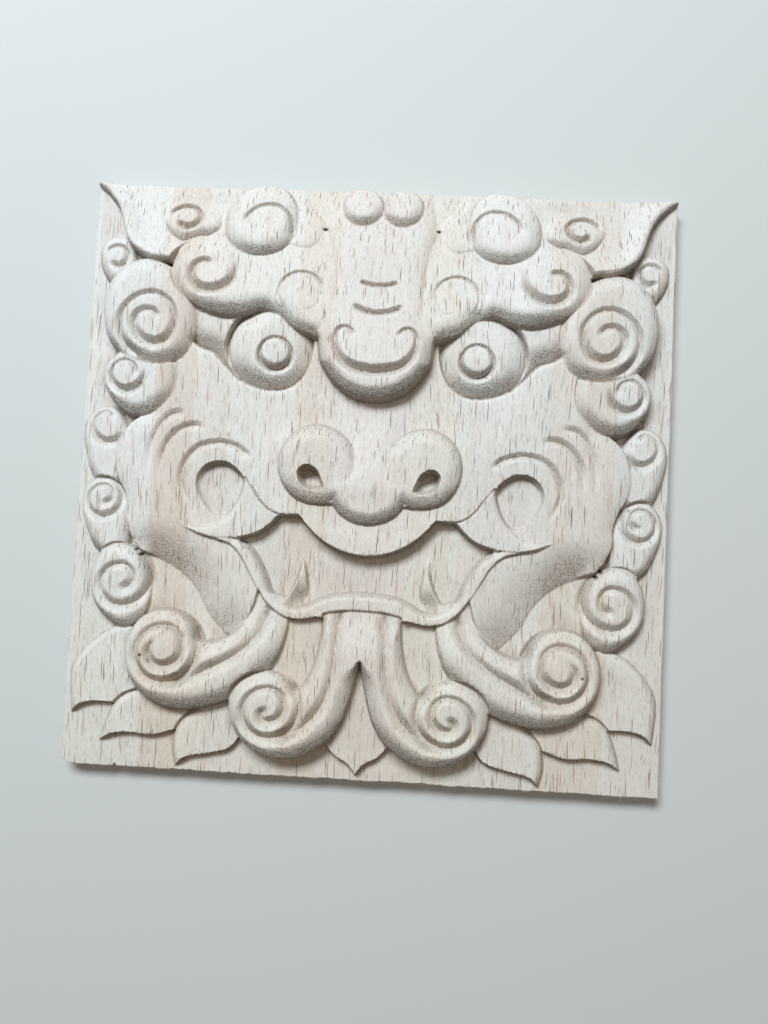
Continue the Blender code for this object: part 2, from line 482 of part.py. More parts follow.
def lower_lip(carving):
    """The ribbon of the lower lip, bevelled towards the mouth."""
    outer = curve((38.4, -16.0), (33.9, -17.4), (31.2, -19.9), (28.8, -23.8), (26.2, -28.2),
                  (23.4, -31.8), (19.8, -34.4), (16.3, -35.1), (12.4, -34.6), (9.0, -33.2), (5.0, -32.4),
                  (0.0, -32.2), (-5.0, -32.4))
    inner = curve((-5.0, -27.9), (0.0, -27.8), (5.0, -28.0), (8.5, -28.6), (11.7, -30.0), (14.4, -31.4),
                  (17.3, -31.8), (20.6, -30.9), (22.8, -28.7), (24.2, -25.1), (26.4, -20.9),
                  (28.9, -17.7), (33.0, -15.7))
    carving.lay(joined(outer, inner), lambda x, y, here: np.clip(here, MOUTH_LEVEL + 0.8, LIP_LEVEL - 1.2),
                LIP_LEVEL, roll=2.0, rolled=inner)


def carve(carving):
    """Lay the forms in the order in which they overlap, the lowest first."""
    leaves(carving)
    throat(carving)
    side_curls(carving)
    cheek(carving)
    nose_bridge(carving)
    eye_tail(carving)
    large_side_curls(carving)
    eye(carving)
    horn(carving)
    brow(carving)
    brow_curls(carving)
    forehead(carving)
    nose(carving)
    mouth(carving)
    beard(carving)
    lower_lip(carving)
    return np.maximum(carving.height, 0.0)


def whole_face(pitch):
    """Grid lines and heights of the whole face, from the half that is drawn."""
    carving = Carving(pitch)
    half = carve(carving)
    across = np.concatenate([-carving.across[:0:-1], carving.across])
    return across, carving.up, np.hstack([half[:, :0:-1], half])


def first_places(carving):
    """Grid places along the four edges of the half, from which the facets start."""
    rows, columns = carving.height.shape
    upright = {(row, column) for row in range(0, rows, BORDER_STEP) for column in (0, columns - 1)}
    level = {(row, column) for row in (0, rows - 1) for column in range(0, columns, BORDER_STEP)}
    return upright | level


def triangulated(places):
    """Delaunay triangles over grid places, each as three places."""
    flat = [Vector((float(column), float(row))) for row, column in sorted(places)]
    corners, _, faces = delaunay_2d_cdt(flat, [], [], 0, 0.001)[:3]
    corners = [(round(corner.y), round(corner.x)) for corner in corners]
    return [[corners[index] for index in face] for face in faces]


def worst_place(heights, lean, triangle):
    """How far the relief leaves a facet at the worst grid place on it, and that place."""
    (row_a, column_a), (row_b, column_b), (row_c, column_c) = triangle
    low_row, low_column = min(row_a, row_b, row_c), min(column_a, column_b, column_c)
    high_row, high_column = max(row_a, row_b, row_c), max(column_a, column_b, column_c)
    window = slice(low_row, high_row + 1), slice(low_column, high_column + 1)
    down = np.arange(low_row, high_row + 1)[:, None] - row_a
    along = np.arange(low_column, high_column + 1)[None, :] - column_a
    area = (column_b - column_a) * (row_c - row_a) - (column_c - column_a) * (row_b - row_a)
    share_b = (along * (row_c - row_a) - (column_c - column_a) * down) / area
    share_c = ((column_b - column_a) * down - along * (row_b - row_a)) / area
    share_a = 1.0 - share_b - share_c
    plane = share_a * heights[row_a, column_a] + share_b * heights[row_b, column_b]
    plane = plane + share_c * heights[row_c, column_c]
    inside = np.minimum(np.minimum(share_a, share_b), share_c) > -1e-9
    error = np.where(inside, np.abs(heights[window] - plane) / lean[window], 0.0)
    row, column = np.unravel_index(np.argmax(error), error.shape)
    return error[row, column], (low_row + int(row), low_column + int(column))


def facets(carving, heights):
    """Triangles over the half, closest together where the relief bends most."""
    slope_up, slope_across = np.gradient(heights, carving.across[1])
    lean = np.sqrt(1.0 + slope_up**2 + slope_across**2)
    places = first_places(carving)
    triangles = triangulated(places)
    while len(places) < HALF_CORNERS:
        worst = sorted((worst_place(heights, lean, triangle) for triangle in triangles), reverse=True)
        wanted = min(HALF_CORNERS, int(len(places) * GROWTH) + 1)
        crowded = set()
        for _, (row, column) in worst:
            if len(places) >= wanted:
                break
            if (row // 2, column // 2) not in crowded:
                places.add((row, column))
                crowded.add((row // 2, column // 2))
        triangles = triangulated(places)
    return triangles


class Shell:
    """Corners and faces of the panel, in metres, with each place used once."""

    def __init__(self):
        self.corners = []
        self.faces = []
        self.known = {}

    def corner(self, x, y, z):
        place = (x, y, z)
        if place not in self.known:
            self.known[place] = len(self.corners)
            self.corners.append(tuple(value * MILLIMETRE for value in place))
        return self.known[place]

    def face(self, places):
        self.faces.append([self.corner(*place) for place in places])


def carved_face(shell, carving, heights, triangles):
    """The facets of the half and their mirror image; returns the ones that reach the outline."""
    outline = []
    for triangle in triangles:
        places = [(float(carving.across[column]), float(carving.up[row]),
                   BOARD_THICKNESS + float(heights[row, column])) for row, column in triangle]
        mirrored = [(-x, y, z) if x else (0.0, y, z) for x, y, z in reversed(places)]
        for side in (places, mirrored):
            shell.face(side)
            for start, end in zip(side, side[1:] + side[:1]):
                on_side = abs(start[0]) == HALF_SIDE and start[0] == end[0]
                on_end = abs(start[1]) == HALF_SIDE and start[1] == end[1]
                if on_side or on_end:
                    outline.append((start, end))
    return outline


def sides_and_back(shell, outline):
    """The four upright sides below the facets, and the flat back."""
    following = {}
    for start, end in outline:
        low_start, low_end = (start[0], start[1], 0.0), (end[0], end[1], 0.0)
        shell.face([end, start, low_start, low_end])
        following[low_end] = low_start
    place = low_end
    back = []
    while len(back) < len(following):
        back.append(place)
        place = following[place]
    shell.face(back)


def panel_mesh():
    carving = Carving(GRID_PITCH)
    heights = carve(carving)
    shell = Shell()
    outline = carved_face(shell, carving, heights, facets(carving, heights))
    sides_and_back(shell, outline)
    mesh = bpy.data.meshes.new("carved_panel")
    mesh.from_pydata(shell.corners, [], shell.faces)
    return mesh


def wood_material():
    material = bpy.data.materials.new("raw_wood")
    material.use_nodes = True
    shader = material.node_tree.nodes["Principled BSDF"]
    shader.inputs["Base Color"].default_value = WOOD_COLOUR
    shader.inputs["Roughness"].default_value = WOOD_ROUGHNESS
    shader.inputs["Metallic"].default_value = 0.0
    return material


def main():
    for thing in list(bpy.data.objects):
        bpy.data.objects.remove(thing, do_unlink=True)
    mesh = panel_mesh()
    mesh.materials.append(wood_material())
    panel = bpy.data.objects.new("carved_panel", mesh)
    bpy.context.scene.collection.objects.link(panel)


main()
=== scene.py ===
"""Looks of the carved lion panel: its finely carved raw wood, sawn edges, light and camera.

The carved face is drawn in millimetres above the bare board, for the half with x > 0,
and mirrored. The wood's own marks are laid over the whole face afterwards.
"""
import math

import bmesh
import bpy
import numpy as np
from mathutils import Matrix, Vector

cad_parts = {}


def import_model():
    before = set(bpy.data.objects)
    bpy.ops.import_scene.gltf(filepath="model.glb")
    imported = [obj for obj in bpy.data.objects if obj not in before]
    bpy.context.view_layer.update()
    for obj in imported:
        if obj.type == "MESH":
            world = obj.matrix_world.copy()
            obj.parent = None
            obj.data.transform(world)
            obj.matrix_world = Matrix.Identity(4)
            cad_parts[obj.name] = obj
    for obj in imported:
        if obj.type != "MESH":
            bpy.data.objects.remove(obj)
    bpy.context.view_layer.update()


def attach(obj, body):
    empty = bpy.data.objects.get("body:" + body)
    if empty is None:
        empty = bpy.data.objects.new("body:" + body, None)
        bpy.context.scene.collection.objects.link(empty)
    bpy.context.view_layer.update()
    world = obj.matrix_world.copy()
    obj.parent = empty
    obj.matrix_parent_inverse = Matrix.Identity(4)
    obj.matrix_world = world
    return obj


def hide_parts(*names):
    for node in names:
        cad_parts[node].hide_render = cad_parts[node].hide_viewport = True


# The board
HALF_SIDE = 75.0
BOARD_THICKNESS = 4.5
MILLIMETRE = 0.001

# How sharply the forms stand up, and how finely they are worked out
WALL = 0.66
FINE_PITCH = 0.25
CURVE_STEPS = 6
PIECE_TRIANGLES = 186000
FLATTENED = 0.45

# Marks of the saw and the cutter
TORN_DEPTH = 0.035
LOW_FUZZ = 150
SIDE_FUZZ = 30
FUZZ_RADIUS = 0.05
FIBRE_RADIUS = 0.07

# Long loose fibres: root, direction, length and bend
LONG_FIBRES = (
    ((-74.7, -43.0, 4.2), (-1.0, 0.2, 0.1), 2.6, (-0.1, -0.6, 0.1)),
    ((-74.7, -42.4, 4.0), (-0.7, 0.8, 0.1), 2.2, (-0.4, 0.3, 0.0)),
    ((-74.6, -44.6, 4.1), (-0.9, -0.5, 0.2), 1.9, (0.1, -0.5, 0.0)),
    ((-74.7, -65.0, 4.2), (-1.0, 0.3, 0.1), 1.8, (0.0, 0.4, 0.1)),
    ((-74.6, -66.0, 4.1), (-0.8, -0.3, 0.1), 1.3, (-0.2, -0.4, 0.0)),
    ((74.6, -70.8, 4.2), (1.0, -0.2, 0.1), 1.5, (0.1, -0.5, 0.1)),
    ((-20.2, -74.2, 4.1), (-0.5, -0.9, 0.1), 1.6, (-0.5, -0.2, 0.0)),
)

# Small pits: place, radius, depth, and their width for their height
PITS = (
    ((57.2, -21.0), 0.55, 1.6, 1.0),
    ((58.5, -19.7), 0.50, 1.4, 1.0),
    ((-57.0, -21.1), 0.50, 1.5, 1.0),
    ((-58.3, -19.8), 0.45, 1.3, 1.0),
    ((-54.2, -45.8), 0.50, 0.9, 1.0),
    ((54.0, -45.6), 0.35, 0.6, 1.0),
    ((-14.5, 64.0), 0.45, 0.7, 1.7),
    ((14.4, 64.4), 0.40, 0.7, 1.5),
)
LOWEST = -1.2

# The worn outline: each rough layer's seed, spacing and depth, and how far in it reaches
LOW_ROUGHNESS = ((11, 0.9, 0.32), (12, 4.3, 0.25))
TOP_ROUGHNESS = ((13, 2.1, 0.03),)
LEFT_ROUGHNESS = ((14, 1.7, 0.12), (15, 6.0, 0.10))
RIGHT_ROUGHNESS = ((16, 2.3, 0.12),)
LOW_REACH = 0.9
TOP_REACH = 0.6
SIDE_REACH = 0.7
CORNER_REACH = 1.3
CORNER_WEAR = (0.9, 0.8)
ARRIS_WIDTH = 0.4
ARRIS_DEPTH = 0.16

# Nicks in the lower edge: place, width and depth
NICKS = ((-61.0, 0.33, 0.95), (33.0, 0.5, 0.3))

# The shading may lean this many degrees from a triangle, less where that is long
LEAN_BY_LENGTH = 14.0
LEAST_LEAN = 5.0
MOST_LEAN = 34.0

# Painted shade that dims the floor of the loops at the corners of the mouth
LOOP_CENTRE = (37.4, -3.4)
LOOP_REACH = 9.5
LOOP_SHADE = 0.62

# Where each stave of the glued board starts, and its colour
STAVES = (
    (-75.0, (221, 217, 212)),
    (-55.2, (215, 201, 190)),
    (-45.5, (220, 210, 202)),
    (-36.4, (221, 214, 207)),
    (-20.2, (218, 205, 194)),
    (-10.2, (220, 209, 202)),
    (9.8, (220, 211, 201)),
    (20.2, (221, 215, 207)),
    (24.6, (220, 212, 206)),
    (37.1, (221, 214, 208)),
    (43.4, (217, 206, 197)),
    (60.2, (221, 215, 210)),
)

# Painted light: the colour grows a little warmer and darker towards the lower edge, where the warm room light
# falls
WARM_FROM = 0.02
WARM_TO = -0.06
PAINTED_WARM_LIGHT = (1.0, 0.965, 0.91, 1.0)

# The finger joint on the cheek
FINGER_PITCH = 3.6
FINGER_LENGTH = 7.2
FINGER_FOOT = 10.7
FINGER_SHIFT = 0.2
FINGER_BLUR = 0.1
FINGERS_FROM = 25.0
FINGERS_TO = 37.0

# The stage, in metres
FLOOR_REACH = 4.0
FLOOR_LEVEL = -0.0001

# The camera: its lens and film in millimetres, its place in metres, its turn in degrees
LENS = 28.125
FILM = 36.0
CAMERA_PLACE = (0.011445, -0.017088, 0.207183)
CAMERA_TURN = (2.8726, 1.9868, 2.9134)

# Colours of the wood's marks, and of the painted shade and shadow, in the linear values of the shader
PALE = (0.76, 0.73, 0.695, 1.0)
ROSY = (0.64, 0.51, 0.44, 1.0)
STREAK = (0.44, 0.345, 0.27, 1.0)
PORE = (0.15, 0.09, 0.06, 1.0)
RUSSET = (0.44, 0.25, 0.17, 1.0)
TUFT = (0.80, 0.77, 0.71, 1.0)
# SHADE, WARM_SHADE and PIT are painted shade and shadow, not the wood's own colour
SHADE = (0.20, 0.15, 0.112, 1.0)
WARM_SHADE = (0.235, 0.15, 0.108, 1.0)
PIT = (0.02, 0.014, 0.01, 1.0)

# How strongly the marks and the painted shade show
JOINT_STRENGTH = 0.6
PORE_STRENGTH = 0.76
RUSSET_STRENGTH = 0.80
SLOPE_SHADE_STRENGTH = 0.41
HOLLOW_SHADE_STRENGTH = 0.32
PIT_SHADOW_STRENGTH = 0.9

# The grain's sway to each side, and the share of a pore's radius that is fully dark
SWAY = 3.0
PORE_CORE = 0.45

# Display colours of the loose fibres and the floor
FIBRE_DARK = (226, 214, 196)
FIBRE_LIGHT = (246, 240, 230)
FLOOR = (205, 204, 201)

# Levels of the relief above the bare board
TOP_EDGE = 0.4
CROWN_SLOPE = 0.232
CROWN_BEND = 0.0008
CROWN_END = 29.0
STRIP_LIFT = 0.7
EYE_LEVEL = 3.0
EYE_SINK = 1.4
PUPIL = (25.4, 31.2)
CHEEK_LEVEL = 4.3
MUZZLE_LIFT = 1.3
LOBE_EDGE = 2.9
JAW_EDGE = 1.3
JAW_SLOPE = 12.0
THROAT_LEVEL = 1.1
LIP_LEVEL = 5.4
MOUTH_LEVEL = 2.2
BRIDGE_LIFT = 0.4
NOSE_PEAK = 8.4
BEARD_EDGE = 4.0
BEARD_TOP = 7.0
LEAF_LEVEL = 2.1
LEAF_FOOT = 0.35


def smooth(t):
    """Rise from 0 to 1 as t does, level at both ends."""
    t = np.clip(t, 0.0, 1.0)
    return t * t * (3.0 - 2.0 * t)


def ramp(value, start, end):
    """Rise from 0 at start to 1 at end, level at both ends."""
    return smooth((value - start) / (end - start))


def span(before, start, end, after):
    """Points from start up to end, bending as the neighbours on both sides ask."""
    gap_a = math.sqrt(np.linalg.norm(start - before))
    gap_b = math.sqrt(np.linalg.norm(end - start))
    gap_c = math.sqrt(np.linalg.norm(after - end))
    leave = (start - before) / gap_a - (end - before) / (gap_a + gap_b) + (end - start) / gap_b
    arrive = (end - start) / gap_b - (after - start) / (gap_b + gap_c) + (after - end) / gap_c
    t = (np.arange(CURVE_STEPS) / CURVE_STEPS)[:, None]
    points = start * (2 * t**3 - 3 * t**2 + 1) + end * (3 * t**2 - 2 * t**3)
    return points + gap_b * (leave * (t**3 - 2 * t**2 + t) + arrive * (t**3 - t**2))


def curve(*knots):
    """A smooth line through the knots, with free ends."""
    knots = [np.array(knot, float) for knot in knots]
    padded = [2 * knots[0] - knots[1]] + knots + [2 * knots[-1] - knots[-2]]
    spans = [span(*four) for four in zip(padded, padded[1:], padded[2:], padded[3:])]
    return np.vstack(spans + [knots[-1]])


def ring(*knots):
    """A smooth closed line through the knots."""
    knots = [np.array(knot, float) for knot in knots]
    padded = [knots[-1]] + knots + knots[:2]
    spans = [span(*four) for four in zip(padded, padded[1:], padded[2:], padded[3:])]
    return np.vstack(spans + [knots[0]])


def joined(*lines):
    """A closed line made of smooth lines that meet in corners."""
    return np.vstack(lines + (lines[0][:1],))


def arc(centre, radius, start, end):
    """Part of a circle; angles are in degrees from the outward side."""
    angles = np.radians(np.linspace(start, end, 2 + int(abs(end - start) / 12)))
    return np.column_stack([centre[0] + radius * np.cos(angles), centre[1] + radius * np.sin(angles)])


def volute(x, crossings, side):
    """A spiral of half turns that cross an upright line at x at the given heights."""
    points = []
    for start, end in zip(crossings, crossings[1:]):
        middle, radius = (start + end) / 2, (end - start) / 2
        for angle in np.linspace(0.0, math.pi, 16)[:-1]:
            points.append((x + side * abs(radius) * math.sin(angle), middle - radius * math.cos(angle)))
        side = -side
    return np.array(points + [(x, middle + radius)])


def stretches(x, y, line):
    """For each straight stretch of a line: how far away each place is, and how far along."""
    passed = 0.0
    for (ax, ay), (bx, by) in zip(line, line[1:]):
        length = max(math.hypot(bx - ax, by - ay), 1e-9)
        ux, uy = (bx - ax) / length, (by - ay) / length
        t = np.clip((x - ax) * ux + (y - ay) * uy, 0.0, length)
        yield np.hypot(x - ax - t * ux, y - ay - t * uy), passed + t
        passed += length


def distance(x, y, line):
    """Distance of each place from a line."""
    best = np.full(x.shape, np.inf)
    for away, _ in stretches(x, y, line):
        best = np.minimum(best, away)
    return best


def within(x, y, line):
    """Which places are inside a closed line."""
    inside = np.zeros(x.shape, bool)
    for (ax, ay), (bx, by) in zip(line, line[1:]):
        if ay == by:
            continue
        crosses = (ay > y) != (by > y)
        inside ^= crosses & (x < (bx - ax) * (y - ay) / (by - ay) + ax)
    return inside


class Carving:
    """Heights of one half of the carved face above the bare board."""

    def __init__(self, pitch):
        self.across = np.linspace(0.0, HALF_SIDE, round(HALF_SIDE / pitch) + 1)
        self.up = np.linspace(-HALF_SIDE, HALF_SIDE, 2 * len(self.across) - 1)
        self.x, self.y = np.meshgrid(self.across, self.up)
        self.height = np.zeros(self.x.shape)

    def near(self, line, margin):
        """Rows and columns of the grid within a margin of a line."""
        low, high = line.min(axis=0) - margin, line.max(axis=0) + margin
        rows = slice(*np.searchsorted(self.up, (low[1], high[1])))
        columns = slice(*np.searchsorted(self.across, (low[0], high[0])))
        return rows, columns

    def lay(self, shape, foot, top, roll=1.0):
        """Put a form over the relief: it rises from foot to top within roll of its edge.

        shape is a closed line, or lines that close together and are rounded along the first.
        foot, top and roll are numbers, or functions of x, y and the height that is there.
        """
        rolled = shape[0] if isinstance(shape, tuple) else None
        line = shape if rolled is None else joined(*shape)
        part = self.near(line, WALL)
        x, y, here = self.x[part], self.y[part], self.height[part]
        away = distance(x, y, line)
        depth = np.where(within(x, y, line), away, -away)
        from_edge = depth if rolled is None else distance(x, y, rolled)
        foot = foot(x, y, here) if callable(foot) else foot
        top = top(x, y, here) if callable(top) else top
        roll = roll(x, y, here) if callable(roll) else roll
        inward = np.clip(from_edge / roll, 0.0, 1.0)
        rise = (np.sin(inward * math.pi / 2) + np.sqrt(inward * (2.0 - inward))) / 2
        surface = foot + (top - foot) * rise
        self.height[part] = here + (surface - here) * smooth(depth / WALL + 0.5)

    def cut(self, line, width, depth, fade=(2.0, 2.0), slim=None):
        """Cut a groove with soft shoulders that runs out over fade at its two ends.

        slim is the share of its width and depth that the groove has at its highest place,
        where that isn't all of it; it swells to the full size at its lowest place.
        """
        part = self.near(line, width / 2)
        x, y = self.x[part], self.y[part]
        low, high = line[:, 1].min(), line[:, 1].max()
        size = 1.0 if slim is None else slim + (1.0 - slim) * smooth((high - y) / (high - low))
        length = np.linalg.norm(np.diff(line, axis=0), axis=1).sum()
        groove = np.zeros(x.shape)
        for away, along in stretches(x, y, line):
            profile = np.clip(1.0 - away / (width * size / 2), 0.0, 1.0) ** 1.5
            strength = smooth(along / fade[0]) * smooth((length - along) / fade[1])
            groove = np.maximum(groove, profile * strength)
        self.height[part] -= depth * size * groove


def as_it_is(x, y, here):
    """The level that is there already."""
    return here


def crown(x, y, here=None):
    """Level of the brow and forehead: it climbs from the top edge down to the eyes."""
    run = HALF_SIDE - np.maximum(y, CROWN_END)
    strip = STRIP_LIFT * ramp(x, 15.0, 7.0) * ramp(y, 76.0, 64.0)
    return TOP_EDGE + CROWN_SLOPE * run - CROWN_BEND * run**2 + strip


def over_crown(lift, more=0.0, start=0.0, end=1.0):
    """A level over the crown by lift, and by up to more where y goes from start to end."""
    return lambda x, y, here: crown(x, y) + lift + more * ramp(y, start, end)


def face_level(x, y):
    """Level of the cheeks, raised a little at the muzzle and more towards the lip."""
    muzzle = MUZZLE_LIFT * ramp(x, 40.0, 16.0) * ramp(y, 16.0, 2.0)
    return CHEEK_LEVEL + muzzle + 0.9 * ramp(x, 26.0, 16.0) * ramp(y, -4.0, -19.0)


def leaf(wood, side_edge, low_edge, hidden):
    """A leaf tip with a bevelled side and an upright lower edge."""
    wood.lay((side_edge, low_edge, hidden), LEAF_FOOT, LEAF_LEVEL, roll=2.2)


def leaves(wood):
    """Four leaf tips that fan out under the beard, with the middle one shared."""
    leaf(wood, curve((62, -39), (66.4, -41.4), (70.6, -45.6), (73.3, -50.5), (72.8, -61.7)),
         curve((72.8, -61.7), (70.1, -59.5), (66.5, -58.6), (60, -58.8)), curve((50, -58.8), (50, -40)))
    leaf(wood, curve((54, -54.2), (59.4, -56.2), (62.1, -59.1), (63.9, -63.6), (65.2, -68.4)),
         curve((65.2, -68.4), (61.5, -66.4), (57, -65.9), (51.5, -66.2), (45.5, -64.4)),
         curve((40, -60), (46, -54)))
    leaf(wood, curve((40.5, -58), (44.4, -61.9), (46, -65), (46.4, -69), (45.4, -73.6)),
         curve((45.4, -73.6), (42.9, -71.3), (37, -69.9), (31.5, -68.2), (29, -65)),
         curve((25, -60), (35, -54)))
    low_edge = curve((9, -64), (7.4, -66.4), (5.2, -68.7), (2.2, -70.4), (0, -73))
    beyond = curve((0, -73), (-3, -70), (-3, -40), (10, -44))
    wood.lay((low_edge, beyond), LEAF_LEVEL, LEAF_LEVEL)


def throat(wood):
    """The low field between the jaw, the side curls and the beard."""
    line = ring((59, -20), (48, -20), (30, -32), (36, -46), (56, -42))
    wood.lay(line, THROAT_LEVEL, THROAT_LEVEL)
    line = ring((7, -30), (20, -29), (25, -48), (15, -57), (6, -46))
    wood.lay(line, BEARD_EDGE - 0.8, BEARD_EDGE - 0.8)


def side_curls(wood):
    """The column of small curls along the board's side, each over the stem of the one above."""
    wood.lay(ring((65, 60), (69.5, 60.8), (72.6, 58.6), (73.1, 55.1), (72, 51.6), (69.5, 48.5), (64, 50)),
             0.6, 2.3, roll=3)
    wood.cut(curve((69.6, 53.6), (67.8, 52.8), (66.2, 53.8), (65.6, 55.8), (66.5, 57.5), (68.3, 58.1),
                   (70, 57.4), (71, 55.8)), 2.6, 1.2, fade=(1, 2), slim=0.7)
    wood.lay(ring((65.8, 15.9), (69.3, 16.5), (72.7, 14.2), (74.1, 9.8), (73.3, 4.5), (71.4, -1), (68, -5),
                  (62, -3), (61, 6)), 0.8, 2.8, roll=3)
    wood.cut(curve((65.8, 13.2), (68.2, 14.9), (70.6, 13.7), (71.5, 11), (70.4, 8.4), (68, 7), (65.6, 7.3),
                   (64, 9.4), (63.6, 12.4)), 3.4, 1.4, fade=(1.5, 6), slim=0.6)
    wood.lay(ring((66.3, -1.9), (70, -2.2), (72.7, -5.2), (73.2, -10), (71.8, -15), (69, -20), (62, -23),
                  (60.5, -12), (62.6, -4.8)), 0.9, 2.9, roll=3)
    wood.cut(volute(67.5, (-8.6, -3.9, -12, -2.7), -1), 3.2, 1.3, fade=(1, 7), slim=0.7)
    wood.lay(ring((63, -18.3), (66.9, -20.2), (69.5, -25.5), (68.9, -32.5), (65.4, -37.2), (60, -39.8),
                  (55, -36), (54, -27.8), (57, -20.5)), 1.5, 3.9, roll=3.5)
    wood.cut(volute(61.4, (-29.9, -23.8, -34.2, -19.5), -1), 4.2, 1.6, fade=(1.5, 13), slim=0.6)


def cheek(wood):
    """The broad plane of the face, from under the brow down to the jaw."""
    lobe = curve((56.5, 15.3), (60.2, 13.4), (63.2, 10.2), (64.8, 5), (64.4, -0.7), (62, -5.6), (61, -9),
                 (61, -13), (59.4, -17), (57.2, -19.9))
    jaw = curve((57.2, -19.9), (52.2, -21.9), (47, -24.6), (42.6, -28.8), (38.9, -35), (34.4, -40))
    under = curve((34.4, -40), (30, -39.5), (24, -35), (-6, -30), (-6, 50))
    above = curve((-6, 50), (50, 50), (60, 40), (58, 26), (56.5, 15.3))

    def sloped(x, y, here):
        inward = np.clip(distance(x, y, jaw[CURVE_STEPS:]) / JAW_SLOPE, 0, 1)
        return JAW_EDGE + (face_level(x, y) - JAW_EDGE) * np.sin(inward * math.pi / 2)

    wood.lay((lobe, jaw, under, above), lambda x, y, here: np.minimum(sloped(x, y, here), LOBE_EDGE),
             sloped, roll=6)
    wood.cut(curve((47, 15.2), (50.4, 14.7), (53, 12.8), (54.9, 9.3), (55.9, 5.4), (56.1, -2)),
             3, 0.9, fade=(3, 9))
    wood.cut(curve((41.7, 11.6), (45.6, 11.9), (48.8, 10.6), (51.2, 7.9), (52.6, 4.5), (53.2, -3)),
             3, 1.1, fade=(4, 9))


def nose_bridge(wood):
    """The low rounded bridge between the eyes."""
    side = curve((9, 26), (8.4, 18), (9.4, 12), (12, 6))
    rest = curve((12, 6), (-6, 4), (-6, 26), (9, 26))
    wood.lay((side, rest), CHEEK_LEVEL, CHEEK_LEVEL + BRIDGE_LIFT, roll=6)


def eye_tail(wood):
    """The hollow that leads from the eye out to the big curl."""
    low_edge = curve((52, 36), (48, 34.5), (44.6, 32.2), (41, 30.9), (37.6, 27.4), (34, 24))
    rest = curve((34, 24), (28, 30), (30, 46), (52, 46), (52, 36))
    wood.lay((low_edge, rest), EYE_LEVEL - EYE_SINK, EYE_LEVEL + 1.3, roll=6)


def large_side_curls(wood):
    """The big curl beside the eye and the smaller one below it."""
    wood.lay(ring((68.6, 27), (69, 22.5), (66.6, 17.6), (61.2, 13.9), (55.8, 15), (51.2, 19.6), (50.1, 25),
                  (52, 30.5), (62, 32)), 3, 5.4, roll=4)
    wood.cut(curve((60.5, 23.4), (60.5, 25.6), (61.6, 27.3), (63.8, 27.8), (66, 26.6), (66.9, 24.2),
                   (66.1, 21.8), (64.2, 20.3), (61.8, 20.1), (59.6, 21.4), (58.4, 23.8), (58.4, 26.6)),
             3.4, 1.7, fade=(2.5, 5), slim=0.5)
    wood.lay(ring((58.6, 54.6), (65, 52.8), (69.4, 47), (70.2, 39.5), (67.8, 32), (62.5, 28.6), (55, 27.2),
                  (49.2, 29), (45.9, 35.5), (46.4, 43), (51, 51)), 3.4, 6.2, roll=4.5)
    wood.cut(curve((55.3, 38.6), (56.4, 40.2), (58.4, 40.8), (60.6, 39.6), (61.4, 37.2), (60.3, 34.4),
                   (58.2, 32.7), (55.6, 32.3), (53, 33.5), (51.5, 36.2), (51.3, 40), (53, 43.2), (56.2, 44.9),
                   (59.4, 44.7), (62.5, 42.9), (64.7, 39.8), (65.2, 36), (63.9, 32.4), (61.2, 29.8),
                   (57.5, 28.4)), 4.2, 1.9, fade=(1.5, 6), slim=0.55)


def eye(wood):
    """The eye under the brow, with its ball."""
    socket = ring((31, 42.6), (35.6, 39.2), (38, 34), (37.2, 28.6), (33.6, 24.2), (28.1, 22.1), (22.8, 22.3),
                  (18.6, 25.2), (16.2, 31), (17, 42), (24, 47))
    wood.lay(socket, EYE_LEVEL - EYE_SINK, EYE_LEVEL + 1.9, roll=6.5)
    wood.cut(curve((48, 34.5), (44.6, 32.2), (41, 30.9), (37.2, 27.4), (33, 23.9), (27, 22), (21.5, 22.7),
                   (17.8, 26)), 2.6, 0.5)
    wood.cut(curve((37.2, 27.4), (38, 33), (35.6, 39.2), (31, 42.6)), 1.8, 0.5)
    wood.cut(arc(PUPIL, 4, -230, 145), 3, 2, fade=(0.1, 0.1), slim=0.4)
    wood.lay(arc(PUPIL, 3.9, 0, 360), as_it_is, EYE_LEVEL + 2.3, roll=3.6)


def horn(wood):
    """The pointed ear that reaches into the board's corner, hollow inside its rim."""
    rim = curve((75.3, 75), (71.2, 71.6), (68.6, 68.2), (67.1, 64.3), (65.7, 60.3), (63.2, 56.8),
                (59.6, 54.5), (52, 53.4))
    hidden = curve((44, 56), (36, 64), (26, 80), (80, 80))

    def rim_top(x, y, here):
        away = distance(x, y, rim)
        return crown(x, y) + 1.4 * np.exp(-((away - 1.2) / 2.6) ** 2)

    wood.lay((rim, hidden), over_crown(0.3), rim_top, roll=1.6)


def brow(wood):
    """The heavy brow with the curl at its outer end."""
    def drop(x, y):
        return (2.5 - 1.2 * ramp(x, 43, 49)) * ramp(y, 60, 54)

    curl_side = curve((34, 62), (41, 61.4), (47, 60.3), (51.4, 57.6), (53.2, 53.3), (52.4, 49), (49.8, 45.1),
                      (45.9, 42.1), (41.5, 40.4), (37.6, 39.9), (33.7, 40.7), (29.4, 42.2), (24.8, 40.8),
                      (20.4, 37.2), (14.5, 34.9))
    above = curve((14.5, 34.9), (-6, 34), (-6, 80), (34, 80))
    wood.lay((curl_side, above), lambda x, y, here: crown(x, y) - 0.3 - drop(x, y),
             lambda x, y, here: crown(x, y) + 0.9 * ramp(x, 32, 40) * ramp(y, 66, 60), roll=4.8)
    wood.cut(curve((42.6, 53.5), (44.6, 54.1), (46.6, 53.1), (47.6, 50.6), (46.8, 48), (44.8, 46.5),
                   (42.2, 46.2), (39.3, 47.2), (37.2, 49.4), (36.4, 52.6), (37.2, 56)), 4, 2.1, fade=(1, 7),
             slim=0.55)
    wood.cut(arc((19.6, 46.4), 5.6, -60, 200), 1.5, 0.7, fade=(8, 6))
    wood.cut(curve((15.2, 45.5), (15.6, 43), (17.4, 41.9), (19.4, 42.8)), 1, 0.25)
    wood.cut(curve((26.8, 49.5), (26.2, 45), (24, 41)), 4, 0.4)


